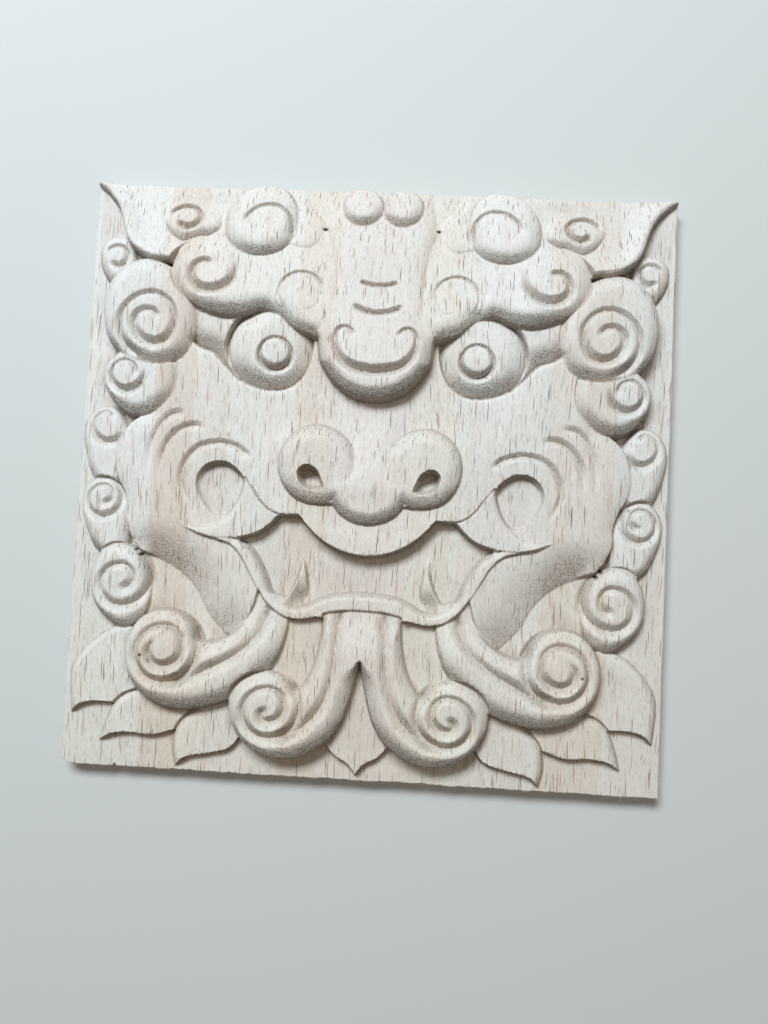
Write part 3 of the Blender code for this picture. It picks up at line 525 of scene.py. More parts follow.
def brow_curls(wood):
    """The small snail and the large curl above the brow."""
    wood.lay(ring((50.4, 71.6), (54.6, 70.2), (56.4, 66.2), (54.9, 62.4), (52.8, 60.2), (50.7, 59.3),
                  (48.6, 60.1), (46.4, 60.9), (44, 61.3), (41.6, 63.4), (41.8, 67.4), (45.6, 71)),
             over_crown(0, -0.3, 66, 61), over_crown(0, 1.5, 71.5, 62.5), roll=3)
    wood.cut(curve((52.4, 64.3), (50.4, 63), (48.2, 63.7), (46.8, 66.2), (47.9, 68.4), (50.6, 69.3),
                   (53.4, 68.4), (55.9, 65.8)), 3, 1.8, fade=(0.8, 3), slim=0.65)
    shoulder = curve((20.6, 76), (18.6, 70.6), (15.2, 66), (15.6, 61.6), (18.6, 58.8), (25, 60))
    wood.lay((shoulder, curve((25, 60), (32, 64), (32, 76))), over_crown(0.1), over_crown(0.6), roll=3)
    wood.lay(ring((29.2, 75.7), (35.1, 73.7), (39.2, 69.2), (40.4, 64), (39, 59.6), (35.4, 56.8), (30, 56),
                  (25, 58), (22, 62.5), (21.8, 68), (24.4, 73.4)), over_crown(-0.1, 1.8, 64, 74),
             over_crown(2.5), roll=4.5)
    wood.cut(curve((22.9, 60.5), (22.7, 64), (23.8, 67), (26.4, 69.1), (29.4, 69.5), (32.4, 68.4), (34.6, 66),
                   (35, 63)), 2.8, 1.4, fade=(3, 3.5), slim=0.55)


def forehead(wood):
    """The tongue-shaped strip down the forehead, with two beads and three grooves."""
    tip = curve((14.6, 36.4), (13.9, 30.1), (12.3, 26.9), (9.6, 23.7), (6.6, 21.4), (3.2, 20.2), (0, 19.8),
                (-3.2, 20.2), (-6.6, 21.4))
    rest = curve((-8, 40), (8, 44), (14.6, 36.4))
    wood.lay((tip, rest), over_crown(0, -2.8, 38, 32), crown, roll=3.6)
    side = curve((11.8, 76), (13.3, 68.3), (14.1, 63.8))
    lower = curve((14.1, 63.8), (12.7, 59.7), (11.7, 53.8), (10.9, 48), (10.4, 43))
    rest = curve((-6, 43), (-6, 76))
    wood.lay((np.vstack([side, lower]), rest), crown, over_crown(0, 0.8, 44, 60), roll=3)
    wood.cut(curve((11.8, 57), (11.3, 48), (11, 39)), 2.4, 0.35, fade=(6, 4))
    wood.lay(arc((5.1, 70), 5.2, 0, 360), over_crown(-0.3, 2.2, 66, 74), over_crown(2.4), roll=3.2)
    wood.cut(arc((0, 60.2), 11.6, -65, -115), 1.8, 1.1, fade=(1, 1))
    wood.cut(arc((0, 51.8), 10.4, -51, -129), 2.2, 1.3, fade=(2, 2))
    wood.cut(curve((5.2, 35), (6.2, 36.9), (8, 37.6), (9.7, 36.6), (10.1, 34), (9.3, 31), (7.4, 28.6),
                   (4.4, 27.1), (0, 26.5), (-4.4, 27.1)), 3.8, 2.2, fade=(2, 0.1), slim=0.4)


def nose(wood):
    """Two nostril bulbs beside a rounded middle lobe."""
    def bridge(x, y, here):
        start = CHEEK_LEVEL + BRIDGE_LIFT
        aside = ramp(np.abs(x), 2, 8) * ramp(y, -2, 7)
        climb = start + (NOSE_PEAK - start) * ramp(y, 17, -3) * (1 - aside)
        return np.maximum(climb, here)

    wood.lay(ring((13.5, 13.6), (18.5, 12), (22, 8.2), (23, 3.6), (21.7, -1), (18.8, -4.6), (14.5, -6.3),
                  (8, -6), (3, -3), (3, 6), (7, 11.2)),
             lambda x, y, here: np.maximum(here, 5) + 0.6 * ramp(y, 4, -2), NOSE_PEAK - 0.2, roll=4.4)
    low_edge = curve((9.2, -5.4), (7.4, -8), (4.4, -10.2), (0, -11.1), (-4.4, -10.2), (-7.4, -8))
    rest = curve((-6, 4), (-4, 17), (4, 17), (7, 8), (9.2, -5.4))
    wood.lay((low_edge, rest), NOSE_PEAK - 2.3, bridge, roll=3.6)
    nostril = ring((17.6, 1.2), (16.6, 2.8), (14.8, 3.1), (12.8, 1.9), (11.6, -0.4), (11, -2.4), (13.4, -3.1),
                   (16.2, -2.2))
    wood.lay(nostril, as_it_is, lambda x, y, here: np.minimum(here, 2.9 + 0.11 * (2.8 - y) ** 2), roll=1.3)


def mouth(wood):
    """The open mouth: the sunk floor, the corner loops, the corner leaves and the tusks."""
    loop_groove = curve((29.8, 4.1), (32.3, 6.2), (35.2, 7.5), (38.1, 7.9), (41.5, 7.4), (44.4, 5.9),
                        (46.7, 2.7), (47.6, -1), (46.6, -4.8), (44, -8.6))
    wood.cut(loop_groove, 2.6, 1.1, fade=(3, 8))
    hole = ring((31.2, -1.2), (34.5, 2.5), (37.6, 3.5), (40.8, 2.6), (42.9, 0.4), (43.6, -2.6), (42.2, -6.4),
                (38, -10.6), (33.6, -9))
    wood.lay(hole, as_it_is, lambda x, y, here: 1.9 + 1.5 * ramp(y, 1, -10) + 0.9 * ramp(x, 39.5, 44.5),
             roll=1.2)
    lip_side = curve((31.2, -0.6), (29, -3.1), (27.1, -5.9), (24.7, -8.2), (21.8, -9.4), (17, -9.4))
    lip_middle = curve((17, -9.4), (14.5, -12.3), (11.3, -15.1), (7.6, -17.2), (3.8, -18.4), (0, -18.8),
                       (-3.8, -18.4))
    floor = curve((-3.8, -18.4), (-3.8, -29.6), (8, -30.6), (16.6, -33.2), (22.1, -31.4), (24.5, -28.6),
                  (26.5, -24.4), (28.8, -20.4), (31.4, -16.4), (31.8, -10), (31.2, -0.6))
    wood.lay((lip_side, lip_middle, floor), MOUTH_LEVEL, MOUTH_LEVEL)
    leaf_side = curve((45.8, -13.3), (40.9, -13), (37.3, -11.6), (34.3, -8.9), (32.3, -4.8), (31.2, -0.6))
    leaf_low = curve((21.9, -9.6), (23.8, -11.7), (26.5, -13.9), (30.2, -15.3), (34.1, -16), (38.5, -15.9),
                     (42.4, -14.9), (45.8, -13.3))
    wood.lay((leaf_side, lip_side, leaf_low), 4.2, 5.5, roll=2)
    tusk_back = curve((15.9, -18.8), (16.3, -22.4), (17.5, -26), (19.2, -29.2), (22, -33.4))
    tusk_front = curve((13, -33.4), (13.8, -30.4), (14, -26.6), (14.7, -22.6), (15.9, -18.8))

    def tusk_top(x, y, here):
        crest = 0.6 + 1.9 * ramp(y, -19, -25) - 0.7 * ramp(y, -26, -31)
        return MOUTH_LEVEL + np.maximum(crest - 0.4 * distance(x, y, tusk_back), 0.1)

    wood.lay((tusk_back, tusk_front), MOUTH_LEVEL + 0.1, tusk_top)


def beard(wood):
    """Two pairs of flame-like locks that end in curls, lower where they leave the lip."""
    def lock_top(x, y, here):
        return BEARD_TOP - 2.4 * ramp(y, -44, -32)

    def lock_foot(x, y, here):
        return np.minimum(lock_top(x, y, here) - 1, BEARD_EDGE)

    outer_lock = curve((26, -28), (27.8, -34.1), (30.7, -38.2), (34.8, -41), (38.7, -42), (41, -41.4),
                       (42.2, -38.3), (45, -35.5), (49, -34.4), (53.4, -35.3), (57, -38.6), (58.9, -43.6),
                       (58.4, -49), (56, -53.6), (51.9, -57), (46.5, -58.7), (41.2, -58.6), (32.4, -56),
                       (26.1, -51.6), (22, -47.4), (19.6, -42.6), (18.3, -36.5), (18.6, -30))
    wood.lay((outer_lock,), lock_foot, lock_top, roll=5)
    wood.cut(curve((22.6, -31.5), (24.8, -37.7), (27.9, -41.9), (31.8, -45.2), (36.7, -48.1), (42.5, -51),
                   (46.4, -52.2)), 5, 1.9, fade=(4, 1.5))
    wood.cut(volute(48.9, (-41.7, -48.3, -38.2, -52.2, -35), 1), 4.4, 2, fade=(6, 12), slim=0.6)
    inner_lock = curve((9.7, -30), (10.2, -40.5), (12.3, -48.2), (15.6, -52.6), (17.4, -50.4), (20.4, -48.5),
                       (24.1, -48), (28.3, -49.5), (31.2, -52.5), (32.2, -57), (30.9, -61.9), (27.8, -66.2),
                       (23.1, -68.9), (17.8, -69.7), (12.4, -68.3), (7.5, -65), (4.2, -60.4), (1.9, -53.6),
                       (0, -45))
    root = curve((0, -45), (-3, -40), (-3, -30))
    wood.lay((inner_lock, root), lock_foot, lock_top,
             roll=lambda x, y, here: 1 + 4 * smooth((-45 - y) / 12 + x / 9))
    wood.cut(curve((5.2, -31.5), (6.1, -41.3), (6.9, -49.1), (8.6, -55.3), (11.9, -60), (15.6, -62.8),
                   (19, -64.4)), 4.6, 1.7, fade=(5, 1.5))
    wood.cut(volute(22, (-57.4, -60.3, -52.1, -64.4, -49), 1), 4.4, 2, fade=(1.5, 12), slim=0.6)


def lower_lip(wood):
    """The ribbon of the lower lip, bevelled towards the mouth."""
    outer = curve((38.4, -16), (33.9, -17.4), (31.2, -19.9), (28.8, -23.8), (26.2, -28.2), (23.4, -31.8),
                  (19.8, -34.4), (16.3, -35.1), (12.4, -34.6), (9, -33.2), (5, -32.4), (0, -32.2),
                  (-5, -32.4))
    inner = curve((-5, -27.9), (0, -27.8), (5, -28), (8.5, -28.6), (11.7, -30), (14.4, -31.4), (17.3, -31.8),
                  (20.6, -30.9), (22.8, -28.7), (24.2, -25.1), (26.4, -20.9), (28.9, -17.7), (33, -15.7))
    wood.lay((inner, outer), lambda x, y, here: np.clip(here, MOUTH_LEVEL + 0.8, LIP_LEVEL - 1.2),
             LIP_LEVEL, roll=2)


def carve(wood):
    """Lay the forms in the order in which they overlap, the lowest first."""
    leaves(wood)
    throat(wood)
    side_curls(wood)
    cheek(wood)
    nose_bridge(wood)
    eye_tail(wood)
    large_side_curls(wood)
    eye(wood)
    horn(wood)
    brow(wood)
    brow_curls(wood)
    forehead(wood)
    nose(wood)
    mouth(wood)
    beard(wood)
    lower_lip(wood)
    return np.maximum(wood.height, 0.0)


def blurred(field, steps):
    """The field averaged over a square of that many grid steps each way, three times."""
    width = 2 * steps + 1
    for _ in range(3):
        for axis in (0, 1):
            pads = [(0, 0), (0, 0)]
            pads[axis] = (steps + 1, steps)
            total = np.cumsum(np.pad(field, pads, mode="edge"), axis=axis)
            upper = np.take(total, range(width, total.shape[axis]), axis=axis)
            lower = np.take(total, range(0, total.shape[axis] - width), axis=axis)
            field = (upper - lower) / width
    return field


def climb(height, steps):
    """How steeply the relief climbs up the panel, smoothed over that many grid steps."""
    return np.gradient(blurred(height, steps), FINE_PITCH, axis=0)


def ragged(along, layers):
    """A rough line: in each layer random heights at even spacing, joined straight."""
    total = 0.0
    for seed, spacing, amount in layers:
        knots = np.arange(-HALF_SIDE - spacing, HALF_SIDE + 2 * spacing, spacing)
        heights = np.random.default_rng(seed).uniform(0.0, amount, len(knots))
        total = total + np.interp(along, knots, heights)
    return total


class Face:
    """The whole carved face on a fine grid, with the marks that differ left and right."""

    def __init__(self):
        wood = Carving(FINE_PITCH)
        half = carve(wood)
        across = np.concatenate([-wood.across[:0:-1], wood.across])
        self.x, self.y = np.meshgrid(across, wood.up)
        self.height = np.hstack([half[:, :0:-1], half])
        # Painted shadow in the pits, laid by dig_pits
        self.pit_shadow = np.zeros(self.height.shape)


def tear_fibres(face):
    """Roughness where the cutter ran against the grain, on slopes that face down the panel."""
    torn = smooth((climb(face.height, 1) - 0.12) / 0.5)
    tufts = blurred(np.random.default_rng(3).normal(size=face.height.shape), 1)
    face.height += TORN_DEPTH * torn * np.clip(tufts / tufts.std(), -2.0, 2.0)


def dig_pits(face):
    """The few small holes where the cutter dug in, with painted shadow in and around them."""
    for (x, y), radius, depth, wide in PITS:
        away = np.hypot((face.x - x) / wide, face.y - y) / radius
        face.height -= depth * np.clip(1.0 - away**2, 0.0, 1.0)
        # Painted shadow in and around each pit
        face.pit_shadow = np.maximum(face.pit_shadow, np.clip(1.3 - away, 0.0, 1.0))
    face.height = np.maximum(face.height, LOWEST)


def wear_outline(face):
    """Places of the grid, with the sawn outline a little ragged and its arris softened."""
    x, y = face.x.copy(), face.y.copy()
    from_low, from_top = y + HALF_SIDE, HALF_SIDE - y
    from_left, from_right = x + HALF_SIDE, HALF_SIDE - x
    low = ragged(x, LOW_ROUGHNESS)
    low += sum(depth * np.exp(-(((x - place) / wide) ** 2)) for place, wide, depth in NICKS)
    y += low * np.exp(-from_low / LOW_REACH)
    y -= ragged(x, TOP_ROUGHNESS) * np.exp(-from_top / TOP_REACH)
    x += ragged(y, LEFT_ROUGHNESS) * np.exp(-from_left / SIDE_REACH)
    x -= ragged(y, RIGHT_ROUGHNESS) * np.exp(-from_right / SIDE_REACH)
    corner = np.exp(-np.hypot(from_left, from_low) / CORNER_REACH)
    x += CORNER_WEAR[0] * corner
    y += CORNER_WEAR[1] * corner
    nearest = np.minimum(np.minimum(from_low, from_top), np.minimum(from_left, from_right))
    face.height -= ARRIS_DEPTH * np.clip(1.0 - nearest / ARRIS_WIDTH, 0.0, 1.0) ** 2
    return x, y


def placed(name, data):
    """A new object in the scene that shows the data."""
    thing = bpy.data.objects.new(name, data)
    bpy.context.scene.collection.objects.link(thing)
    return thing


def finished(builder, name):
    """The builder's mesh under that name."""
    mesh = bpy.data.meshes.new(name)
    builder.to_mesh(mesh)
    builder.free()
    return mesh


def sheet_mesh(x, y, height):
    """A fine sheet of squares, in millimetres, its heights flattened so that walls lean back."""
    rows, columns = height.shape
    mesh = bpy.data.meshes.new("sheet")
    mesh.vertices.add(rows * columns)
    places = np.stack([x, y, FLATTENED * height], axis=-1)
    mesh.vertices.foreach_set("co", places.astype(np.float32).ravel())
    index = np.arange(rows * columns, dtype=np.int32).reshape(rows, columns)
    squares = np.stack([index[:-1, :-1], index[:-1, 1:], index[1:, 1:], index[1:, :-1]], axis=-1)
    squares = squares.reshape(-1, 4)
    mesh.loops.add(squares.size)
    mesh.loops.foreach_set("vertex_index", squares.ravel())
    mesh.polygons.add(len(squares))
    mesh.polygons.foreach_set("loop_start", np.arange(0, squares.size, 4, dtype=np.int32))
    mesh.update(calc_edges=True)
    return mesh


def thinned(mesh, triangles):
    """The same sheet with its triangles kept where the relief bends."""
    sheet = placed("sheet", mesh)
    thin = sheet.modifiers.new("thin", "DECIMATE")
    thin.decimate_type = "COLLAPSE"
    thin.ratio = triangles / (2 * len(mesh.polygons))
    thin.use_collapse_triangulate = True
    result = bpy.data.meshes.new_from_object(sheet.evaluated_get(bpy.context.evaluated_depsgraph_get()))
    bpy.data.objects.remove(sheet, do_unlink=True)
    bpy.data.meshes.remove(mesh)
    return result


def closed_board(sheet):
    """The sheet with the board's sides and back added, in metres."""
    builder = bmesh.new()
    builder.from_mesh(sheet)
    for vertex in builder.verts:
        vertex.co.z = BOARD_THICKNESS + vertex.co.z / FLATTENED
    rim = [edge for edge in builder.edges if edge.is_boundary]
    made = bmesh.ops.extrude_edge_only(builder, edges=rim)["geom"]
    for thing in made:
        if isinstance(thing, bmesh.types.BMVert):
            thing.co.z = 0.0
    low_rim = [edge for edge in builder.edges if edge.is_boundary]
    bmesh.ops.contextual_create(builder, geom=low_rim)
    bmesh.ops.recalc_face_normals(builder, faces=builder.faces)
    bmesh.ops.scale(builder, vec=(MILLIMETRE,) * 3, verts=builder.verts)
    bpy.data.meshes.remove(sheet)
    return finished(builder, "carved_wood")


def corner_places(mesh):
    """The places of the mesh's corners, in millimetres."""
    places = np.empty(len(mesh.vertices) * 3, np.float32)
    mesh.vertices.foreach_get("co", places)
    return places.reshape(-1, 3) / MILLIMETRE


def sample(field, places):
    """The field's value at each place, from the four grid places around it."""
    across, up = ((places[:, axis] + HALF_SIDE) / FINE_PITCH for axis in (0, 1))
    column = np.clip(across.astype(int), 0, field.shape[1] - 2)
    row = np.clip(up.astype(int), 0, field.shape[0] - 2)
    right, above = np.clip(across - column, 0.0, 1.0), np.clip(up - row, 0.0, 1.0)
    low = field[row, column] * (1.0 - right) + field[row, column + 1] * right
    high = field[row + 1, column] * (1.0 - right) + field[row + 1, column + 1] * right
    return low * (1.0 - above) + high * above


def shade_by_relief(face, mesh, places):
    """Shading by the fine grid's slopes; flat where a triangle is long or leans another way."""
    up, across = np.gradient(face.height, FINE_PITCH)
    leaning = np.column_stack([-sample(across, places), -sample(up, places), np.ones(len(places))])
    leaning /= np.linalg.norm(leaning, axis=1)[:, None]
    corners = np.empty(len(mesh.loops), np.int32)
    mesh.loops.foreach_get("vertex_index", corners)
    starts = np.empty(len(mesh.polygons), np.int32)
    mesh.polygons.foreach_get("loop_start", starts)
    flat = np.empty(len(mesh.polygons) * 3, np.float32)
    mesh.polygons.foreach_get("normal", flat)
    sizes = np.diff(np.append(starts, len(corners)))
    low, high = (extreme.reduceat(places[corners, :2], starts) for extreme in (np.minimum, np.maximum))
    reach = np.maximum((high - low).max(axis=1), FINE_PITCH)
    widest = np.cos(np.radians(np.clip(LEAN_BY_LENGTH / reach, LEAST_LEAN, MOST_LEAN)))
    flat, widest = np.repeat(flat.reshape(-1, 3), sizes, axis=0), np.repeat(widest, sizes)
    agreeing = (leaning[corners] * flat).sum(axis=1) > widest
    mesh.normals_split_custom_set(np.where(agreeing[:, None], leaning[corners], flat))


def paint(mesh, name, values):
    """Give the mesh a value at each corner, for its material to read."""
    layer = mesh.attributes.new(name, "FLOAT", "POINT")
    layer.data.foreach_set("value", values.astype(np.float32))


def carved_wood():
    """The whole panel as one finely carved piece."""
    face = Face()
    tear_fibres(face)
    dig_pits(face)
    x, y = wear_outline(face)
    # Painted shade for the material: darker at the feet of walls and in the grooves, on the floor of the
    # loops at the corners of the mouth, on the large slopes that face down the panel, and painted shadow in
    # the pits
    hollow = np.clip((blurred(face.height, 2) - face.height) / 0.75 - 0.08, 0.0, 1.0)
    # Painted shade on the floor of the loops at the corners of the mouth
    away = np.hypot(np.abs(x) - LOOP_CENTRE[0], y - LOOP_CENTRE[1]) / LOOP_REACH
    loop_shade = LOOP_SHADE * smooth((1.0 - away) / 0.4) * smooth((5.0 - face.height) / 2.0)
    # Large slopes that face down the panel, away from the window: they get more painted shade and more torn
    # grain
    shaded_underside = smooth((climb(face.height, 4) - 0.06) / 0.55)
    mesh = closed_board(thinned(sheet_mesh(x, y, face.height), PIECE_TRIANGLES))
    places = corner_places(mesh)
    paint(mesh, "hollow", sample(np.maximum(hollow, loop_shade), places))
    paint(mesh, "shaded_underside", sample(shaded_underside, places))
    # Painted shadow in the pits
    paint(mesh, "pit_shadow", sample(face.pit_shadow, places))
    mesh.shade_smooth()
    shade_by_relief(face, mesh, places)
    return placed("carved_wood", mesh)


def fibre(builder, root, direction, length, bend, radius):
    """One torn fibre: a thin three-sided spike that bends as it leaves the board."""
    root, direction, bend = Vector(root), Vector(direction).normalized(), Vector(bend)
    across = direction.cross(Vector((0.0, 0.0, 1.0))).normalized()
    lift = direction.cross(across)
    rings = []
    for step in range(5):
        t = step / 4
        middle = root + direction * length * t + bend * length * t * t
        size = radius * (1.0 - 0.85 * t)
        corners = [middle + size * (across * math.cos(turn) + lift * math.sin(turn))
                   for turn in (0.5, 0.5 + math.tau / 3, 0.5 + 2 * math.tau / 3)]
        rings.append([builder.verts.new(corner * MILLIMETRE) for corner in corners])
    for low, high in zip(rings, rings[1:]):
        for number in range(3):
            after = (number + 1) % 3
            builder.faces.new((low[number], low[after], high[after], high[number]))
    builder.faces.new(rings[0][::-1])
    builder.faces.new(rings[-1])


def torn_fibres():
    """Loose fibres that the saw left along the board's edges."""
    builder = bmesh.new()
    rng = np.random.default_rng(21)
    for root, direction, length, bend in LONG_FIBRES:
        fibre(builder, root, direction, length, bend, FIBRE_RADIUS)
    for _ in range(LOW_FUZZ):
        x = rng.uniform(-74.0, 74.5)
        root = (x, -74.4, rng.uniform(3.4, 4.3))
        direction = (rng.normal(0.0, 0.7), -1.0, rng.normal(0.0, 0.3))
        bend = (rng.normal(0.0, 0.5), 0.0, rng.normal(0.0, 0.2))
        fibre(builder, root, direction, 0.35 + rng.exponential(0.35), bend, FUZZ_RADIUS)
    for _ in range(SIDE_FUZZ):
        side = rng.choice((-1.0, 1.0))
        root = (side * 74.7, rng.uniform(-74.0, 60.0), rng.uniform(3.2, 4.3))
        direction = (side * 0.5, rng.choice((-1.0, 1.0)), rng.normal(0.0, 0.3))
        bend = (side * rng.uniform(0.0, 0.4), 0.0, 0.0)
        fibre(builder, root, direction, 0.5 + rng.exponential(0.4), bend, FUZZ_RADIUS)
    bmesh.ops.recalc_face_normals(builder, faces=builder.faces)
    return placed("torn_fibres", finished(builder, "torn_fibres"))


class Graph:
    """A material's node tree with short ways to add to it."""

    def __init__(self, name):
        self.material = bpy.data.materials.new(name)
        self.material.use_nodes = True
        self.tree = self.material.node_tree
        self.shader = self.tree.nodes["Principled BSDF"]

    def add(self, kind, inputs, output=0, **settings):
        made = self.tree.nodes.new("ShaderNode" + kind)
        for name, value in settings.items():
            setattr(made, name, value)
        for name, value in inputs.items():
            self.feed(made.inputs[name], value)
        return made.outputs[output]

    def feed(self, socket, value):
        if isinstance(value, bpy.types.NodeSocket):
            self.tree.links.new(value, socket)
        else:
            socket.default_value = value

    def math(self, operation, *values):
        return self.add("Math", dict(enumerate(values)), operation=operation)

    def times(self, first, second):
        return self.math("MULTIPLY", first, second)

    def painted(self, name):
        """The value that the mesh carries under that name."""
        return self.add("Attribute", {}, output=2, attribute_name=name)

    def moved(self, place, offset):
        return self.add("VectorMath", {0: place, 1: offset}, operation="ADD")

    def rise(self, value, start, end, low=0.0, high=1.0):
        """A soft step of value from start to end."""
        return self.add("MapRange", {"Value": value, "From Min": start, "From Max": end,
                                     "To Min": low, "To Max": high}, interpolation_type="SMOOTHSTEP")

    def mix(self, share, first, second, blend="MIX"):
        made = self.tree.nodes.new("ShaderNodeMix")
        made.data_type = "RGBA"
        made.blend_type = blend
        self.feed(made.inputs[0], share)
        self.feed(made.inputs[6], first)
        self.feed(made.inputs[7], second)
        return made.outputs[2]

    def stretched(self, place, size):
        """The place measured in grains of that size, in millimetres along x, y and z."""
        return self.add("Mapping", {"Vector": place, "Scale": [1 / (length * MILLIMETRE) for length in size]})

    def noise(self, place, size, detail=2.0, roughness=0.5):
        """Noise with grains of that size, in millimetres along x, y and z."""
        return self.add("TexNoise", {"Vector": self.stretched(place, size), "Scale": 1.0,
                                     "Detail": detail, "Roughness": roughness})

    def bump(self, height, distance, strength=1.0, normal=None):
        inputs = {"Height": height, "Distance": distance * MILLIMETRE, "Strength": strength}
        if normal is not None:
            inputs["Normal"] = normal
        return self.add("Bump", inputs)


def colour(red, green, blue):
    """A display colour from 0 to 255 as the linear values that a shader takes."""
    shares = [value / 255 for value in (red, green, blue)]
    linear = [share / 12.92 if share < 0.04045 else ((share + 0.055) / 1.055) ** 2.4 for share in shares]
    return (*linear, 1.0)


def stave_colours(graph, x):
    """Each glued stave's own tint, from its place across the board."""
    ramp = graph.add("ValToRGB", {"Fac": graph.math("MULTIPLY_ADD", x, 0.5 / (HALF_SIDE * MILLIMETRE), 0.5)})
    elements = ramp.node.color_ramp
    elements.interpolation = "CONSTANT"
    for number, (edge, tint) in enumerate(STAVES):
        place = (edge + HALF_SIDE) / (2 * HALF_SIDE)
        stop = elements.elements[number] if number < 2 else elements.elements.new(place)
        stop.position = place
        stop.color = colour(*tint)
    return ramp


def finger_joint(graph, x, y):
    """Where the lighter length of one stave ends in a row of glued fingers."""
    teeth = graph.math("PINGPONG", graph.math("ADD", x, FINGER_SHIFT * MILLIMETRE),
                       FINGER_PITCH * MILLIMETRE / 2)
    tip = graph.math("MULTIPLY_ADD", teeth, FINGER_LENGTH / (FINGER_PITCH / 2), FINGER_FOOT * MILLIMETRE)
    above = graph.rise(graph.math("SUBTRACT", y, tip), -FINGER_BLUR * MILLIMETRE, FINGER_BLUR * MILLIMETRE)
    inside = graph.times(graph.math("GREATER_THAN", x, FINGERS_FROM * MILLIMETRE),
                         graph.math("LESS_THAN", x, FINGERS_TO * MILLIMETRE))
    return graph.times(above, inside)


def pores(graph, place, cell, radius, share):
    """Open vessels: short thin dashes along the grain, in that share of the cells."""
    spot = graph.add("TexVoronoi", {"Vector": graph.stretched(place, cell), "Scale": 1.0})
    chance = graph.add("SeparateColor", {"Color": spot.node.outputs["Color"]})
    chosen = graph.math("LESS_THAN", chance, share)
    return graph.times(chosen, graph.rise(spot, radius, radius * PORE_CORE))


def grain(graph, place, axes, base):
    """Bands, streaks and vessels that run up the panel; returns the colour, streaks and vessels."""
    wander = graph.noise(place, (30.0, 60.0, 30.0), detail=1.0)
    sway = graph.math("MULTIPLY_ADD", wander, 2 * SWAY * MILLIMETRE, -SWAY * MILLIMETRE)
    swayed = graph.add("CombineXYZ", {"X": graph.math("ADD", axes[0], sway), "Y": axes[1], "Z": axes[2]})
    bands = graph.noise(swayed, (3.0, 60.0, 5.0), detail=3.0, roughness=0.6)
    streaks = graph.noise(swayed, (0.38, 14.0, 0.9), detail=3.0, roughness=0.65)
    fine = graph.noise(swayed, (0.15, 3.4, 0.5))
    mottle = graph.noise(place, (0.45, 0.9, 0.45), detail=3.0, roughness=0.7)
    for marks, start, end, strength, tint in (
            (bands, 0.52, 0.74, 0.5, ROSY), (bands, 0.48, 0.28, 0.4, PALE),
            (streaks, 0.53, 0.76, 0.50, STREAK), (fine, 0.50, 0.74, 0.46, STREAK),
            (mottle, 0.49, 0.30, 0.30, STREAK), (mottle, 0.52, 0.70, 0.45, TUFT)):
        base = graph.mix(graph.rise(marks, start, end, high=strength), base, tint)
    crowded = graph.rise(graph.noise(swayed, (1.8, 30.0, 6.0)), 0.36, 0.62, low=0.22)
    reddened = graph.rise(graph.noise(swayed, (6.0, 50.0, 9.0)), 0.38, 0.58)
    aside = graph.moved(swayed, (0.013, 0.029, 0.017))
    farther = graph.moved(aside, (0.031, 0.017, 0.011))
    long_pores = pores(graph, swayed, (0.52, 15.0, 2.0), 0.22, crowded)
    short_pores = pores(graph, aside, (0.40, 6.0, 1.6), 0.19, crowded)
    russet = pores(graph, farther, (0.75, 15.0, 2.4), 0.25, reddened)
    vessels = graph.math("MAXIMUM", long_pores, graph.times(short_pores, 0.75))
    base = graph.mix(graph.times(russet, RUSSET_STRENGTH), base, RUSSET)
    return graph.mix(graph.times(vessels, PORE_STRENGTH), base, PORE), streaks, vessels


def torn_grain(graph, place, facing, base):
    """Stippled roughness on the slopes, strongest where they face down the panel; painted shade there and in
    its gaps.
    """
    down = graph.rise(graph.times(facing[1], -1.0), 0.04, 0.38)
    down = graph.times(down, graph.math("MULTIPLY_ADD", graph.painted("shaded_underside"), 0.55, 0.45))
    steep = graph.rise(graph.math("ABSOLUTE", facing[2]), 0.90, 0.50, high=0.35)
    torn = graph.math("MAXIMUM", down, steep)
    tufts = graph.noise(place, (0.34, 0.40, 0.34), roughness=0.6)
    patches = graph.rise(graph.noise(place, (3.0, 3.0, 3.0)), 0.35, 0.60, low=0.5)
    amount = graph.times(torn, patches)
    # Painted tiny shadows in the gaps between the torn fibres
    stipple_shadows = graph.times(amount, graph.rise(tufts, 0.54, 0.36, high=0.70))
    nap = graph.times(amount, graph.rise(tufts, 0.54, 0.66, high=0.55))
    # Painted shade: the slopes that face down the panel, away from the window, and the steep walls are
    # darkened
    base = graph.mix(graph.times(torn, SLOPE_SHADE_STRENGTH), base, SHADE)
    base = graph.mix(stipple_shadows, base, SHADE)
    return graph.mix(nap, base, TUFT), torn, tufts


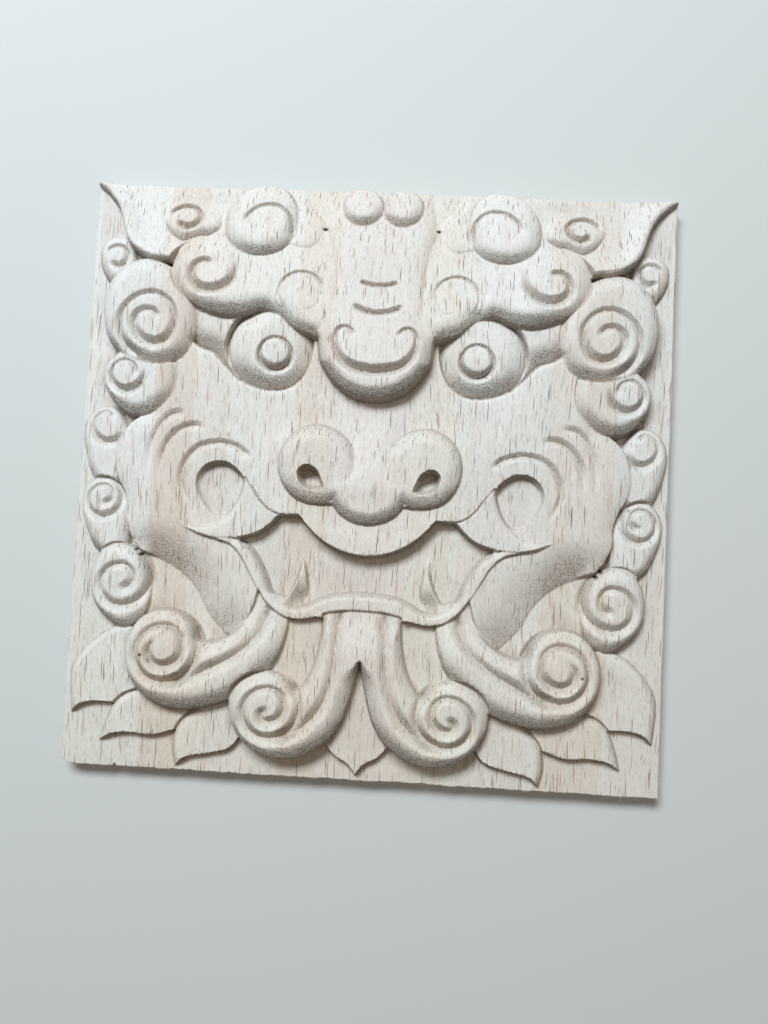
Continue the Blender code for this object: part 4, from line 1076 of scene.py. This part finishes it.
def wood_material():
    """Raw pale wood, glued up from staves and carved with a small cutter."""
    graph = Graph("raw_wood")
    place = graph.add("TexCoord", {}, output=3)
    axes = graph.add("SeparateXYZ", {"Vector": place}).node.outputs
    facing = graph.add("SeparateXYZ", {"Vector": graph.add("NewGeometry", {}, output=1)}).node.outputs
    base = stave_colours(graph, axes[0])
    base = graph.mix(graph.times(finger_joint(graph, axes[0], axes[1]), JOINT_STRENGTH), base, PALE)
    # Painted light: warmer and darker towards the lower edge
    base = graph.mix(graph.rise(axes[1], WARM_FROM, WARM_TO), base, PAINTED_WARM_LIGHT, blend="MULTIPLY")
    base, streaks, vessels = grain(graph, place, axes, base)
    base, torn, tufts = torn_grain(graph, place, facing, base)
    # Painted shade at the feet of walls, in the grooves and on the floor of the mouth-corner loops
    base = graph.mix(graph.times(graph.painted("hollow"), HOLLOW_SHADE_STRENGTH), base, WARM_SHADE)
    # Painted shadow in the pits
    base = graph.mix(graph.times(graph.painted("pit_shadow"), PIT_SHADOW_STRENGTH), base, PIT)
    graph.feed(graph.shader.inputs["Base Color"], base)
    rough = graph.rise(streaks, 0.3, 0.8, low=0.58, high=0.74)
    rough = graph.math("ADD", rough, graph.times(torn, 0.12))
    graph.feed(graph.shader.inputs["Roughness"], graph.add("Clamp", {"Value": rough}))
    graph.shader.inputs["Specular IOR Level"].default_value = 0.3
    nap = graph.times(tufts, graph.math("MULTIPLY_ADD", torn, 0.94, 0.06))
    normal = graph.bump(streaks, 0.05, 0.6)
    normal = graph.bump(graph.math("SUBTRACT", 1.0, vessels), 0.10, normal=normal)
    graph.feed(graph.shader.inputs["Normal"], graph.bump(nap, 0.70, normal=normal))
    return graph.material


def fibre_material():
    """Loose fibres, paler than the board."""
    graph = Graph("pale_fibre")
    tone = graph.noise(graph.add("TexCoord", {}, output=3), (0.8, 0.8, 0.8))
    graph.feed(graph.shader.inputs["Base Color"], graph.mix(tone, colour(*FIBRE_DARK), colour(*FIBRE_LIGHT)))
    graph.shader.inputs["Roughness"].default_value = 0.75
    return graph.material


def floor():
    """A plain pale floor, just under the panel's back."""
    mesh = bpy.data.meshes.new("floor")
    signs = ((-1, -1), (1, -1), (1, 1), (-1, 1))
    corners = [(x * FLOOR_REACH, y * FLOOR_REACH, FLOOR_LEVEL) for x, y in signs]
    mesh.from_pydata(corners, [], [(0, 1, 2, 3)])
    graph = Graph("pale_floor")
    graph.shader.inputs["Base Color"].default_value = colour(*FLOOR)
    graph.shader.inputs["Roughness"].default_value = 0.8
    mesh.materials.append(graph.material)
    placed("floor", mesh)


def window_light(name, place, size, power, tint):
    """A soft panel of light that faces the middle of the board."""
    lamp = bpy.data.lights.new(name, "AREA")
    lamp.shape = "RECTANGLE"
    lamp.size, lamp.size_y = size
    lamp.energy = power
    lamp.color = tint
    holder = placed(name, lamp)
    holder.location = place
    holder.rotation_euler = (-Vector(place)).to_track_quat("-Z", "Y").to_euler()


def lighting():
    """A cool window above the panel, a weak warm room, and a little light from all around."""
    window_light("window", (-0.20, 0.48, 0.67), size=(0.46, 0.24), power=9.0, tint=(0.82, 0.935, 1.0))
    window_light("room", (0.28, -0.26, 0.8), size=(0.9, 0.9), power=1.3, tint=(0.97, 0.87, 0.72))
    world = bpy.data.worlds.new("room_air")
    world.use_nodes = True
    background = world.node_tree.nodes["Background"]
    background.inputs["Color"].default_value = (1.0, 0.96, 0.90, 1.0)
    background.inputs["Strength"].default_value = 0.10
    bpy.context.scene.world = world
    bpy.context.scene.view_settings.view_transform = "Standard"


def camera():
    """A phone held about 0.2 m above the panel, nearly square to it."""
    lens = bpy.data.cameras.new("camera")
    lens.sensor_width = FILM
    lens.lens = LENS
    lens.clip_start = 0.01
    holder = placed("camera", lens)
    holder.location = CAMERA_PLACE
    holder.rotation_euler = [math.radians(angle) for angle in CAMERA_TURN]
    bpy.context.scene.camera = holder


def main():
    """Dress the frame's panel, and set up the camera, lights and floor."""
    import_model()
    camera()
    lighting()
    floor()
    panel = carved_wood()
    panel.data.materials.append(wood_material())
    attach(panel, "root")
    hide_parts("carved_panel")
    fibres = torn_fibres()
    fibres.data.materials.append(fibre_material())
    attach(fibres, "root")


main()
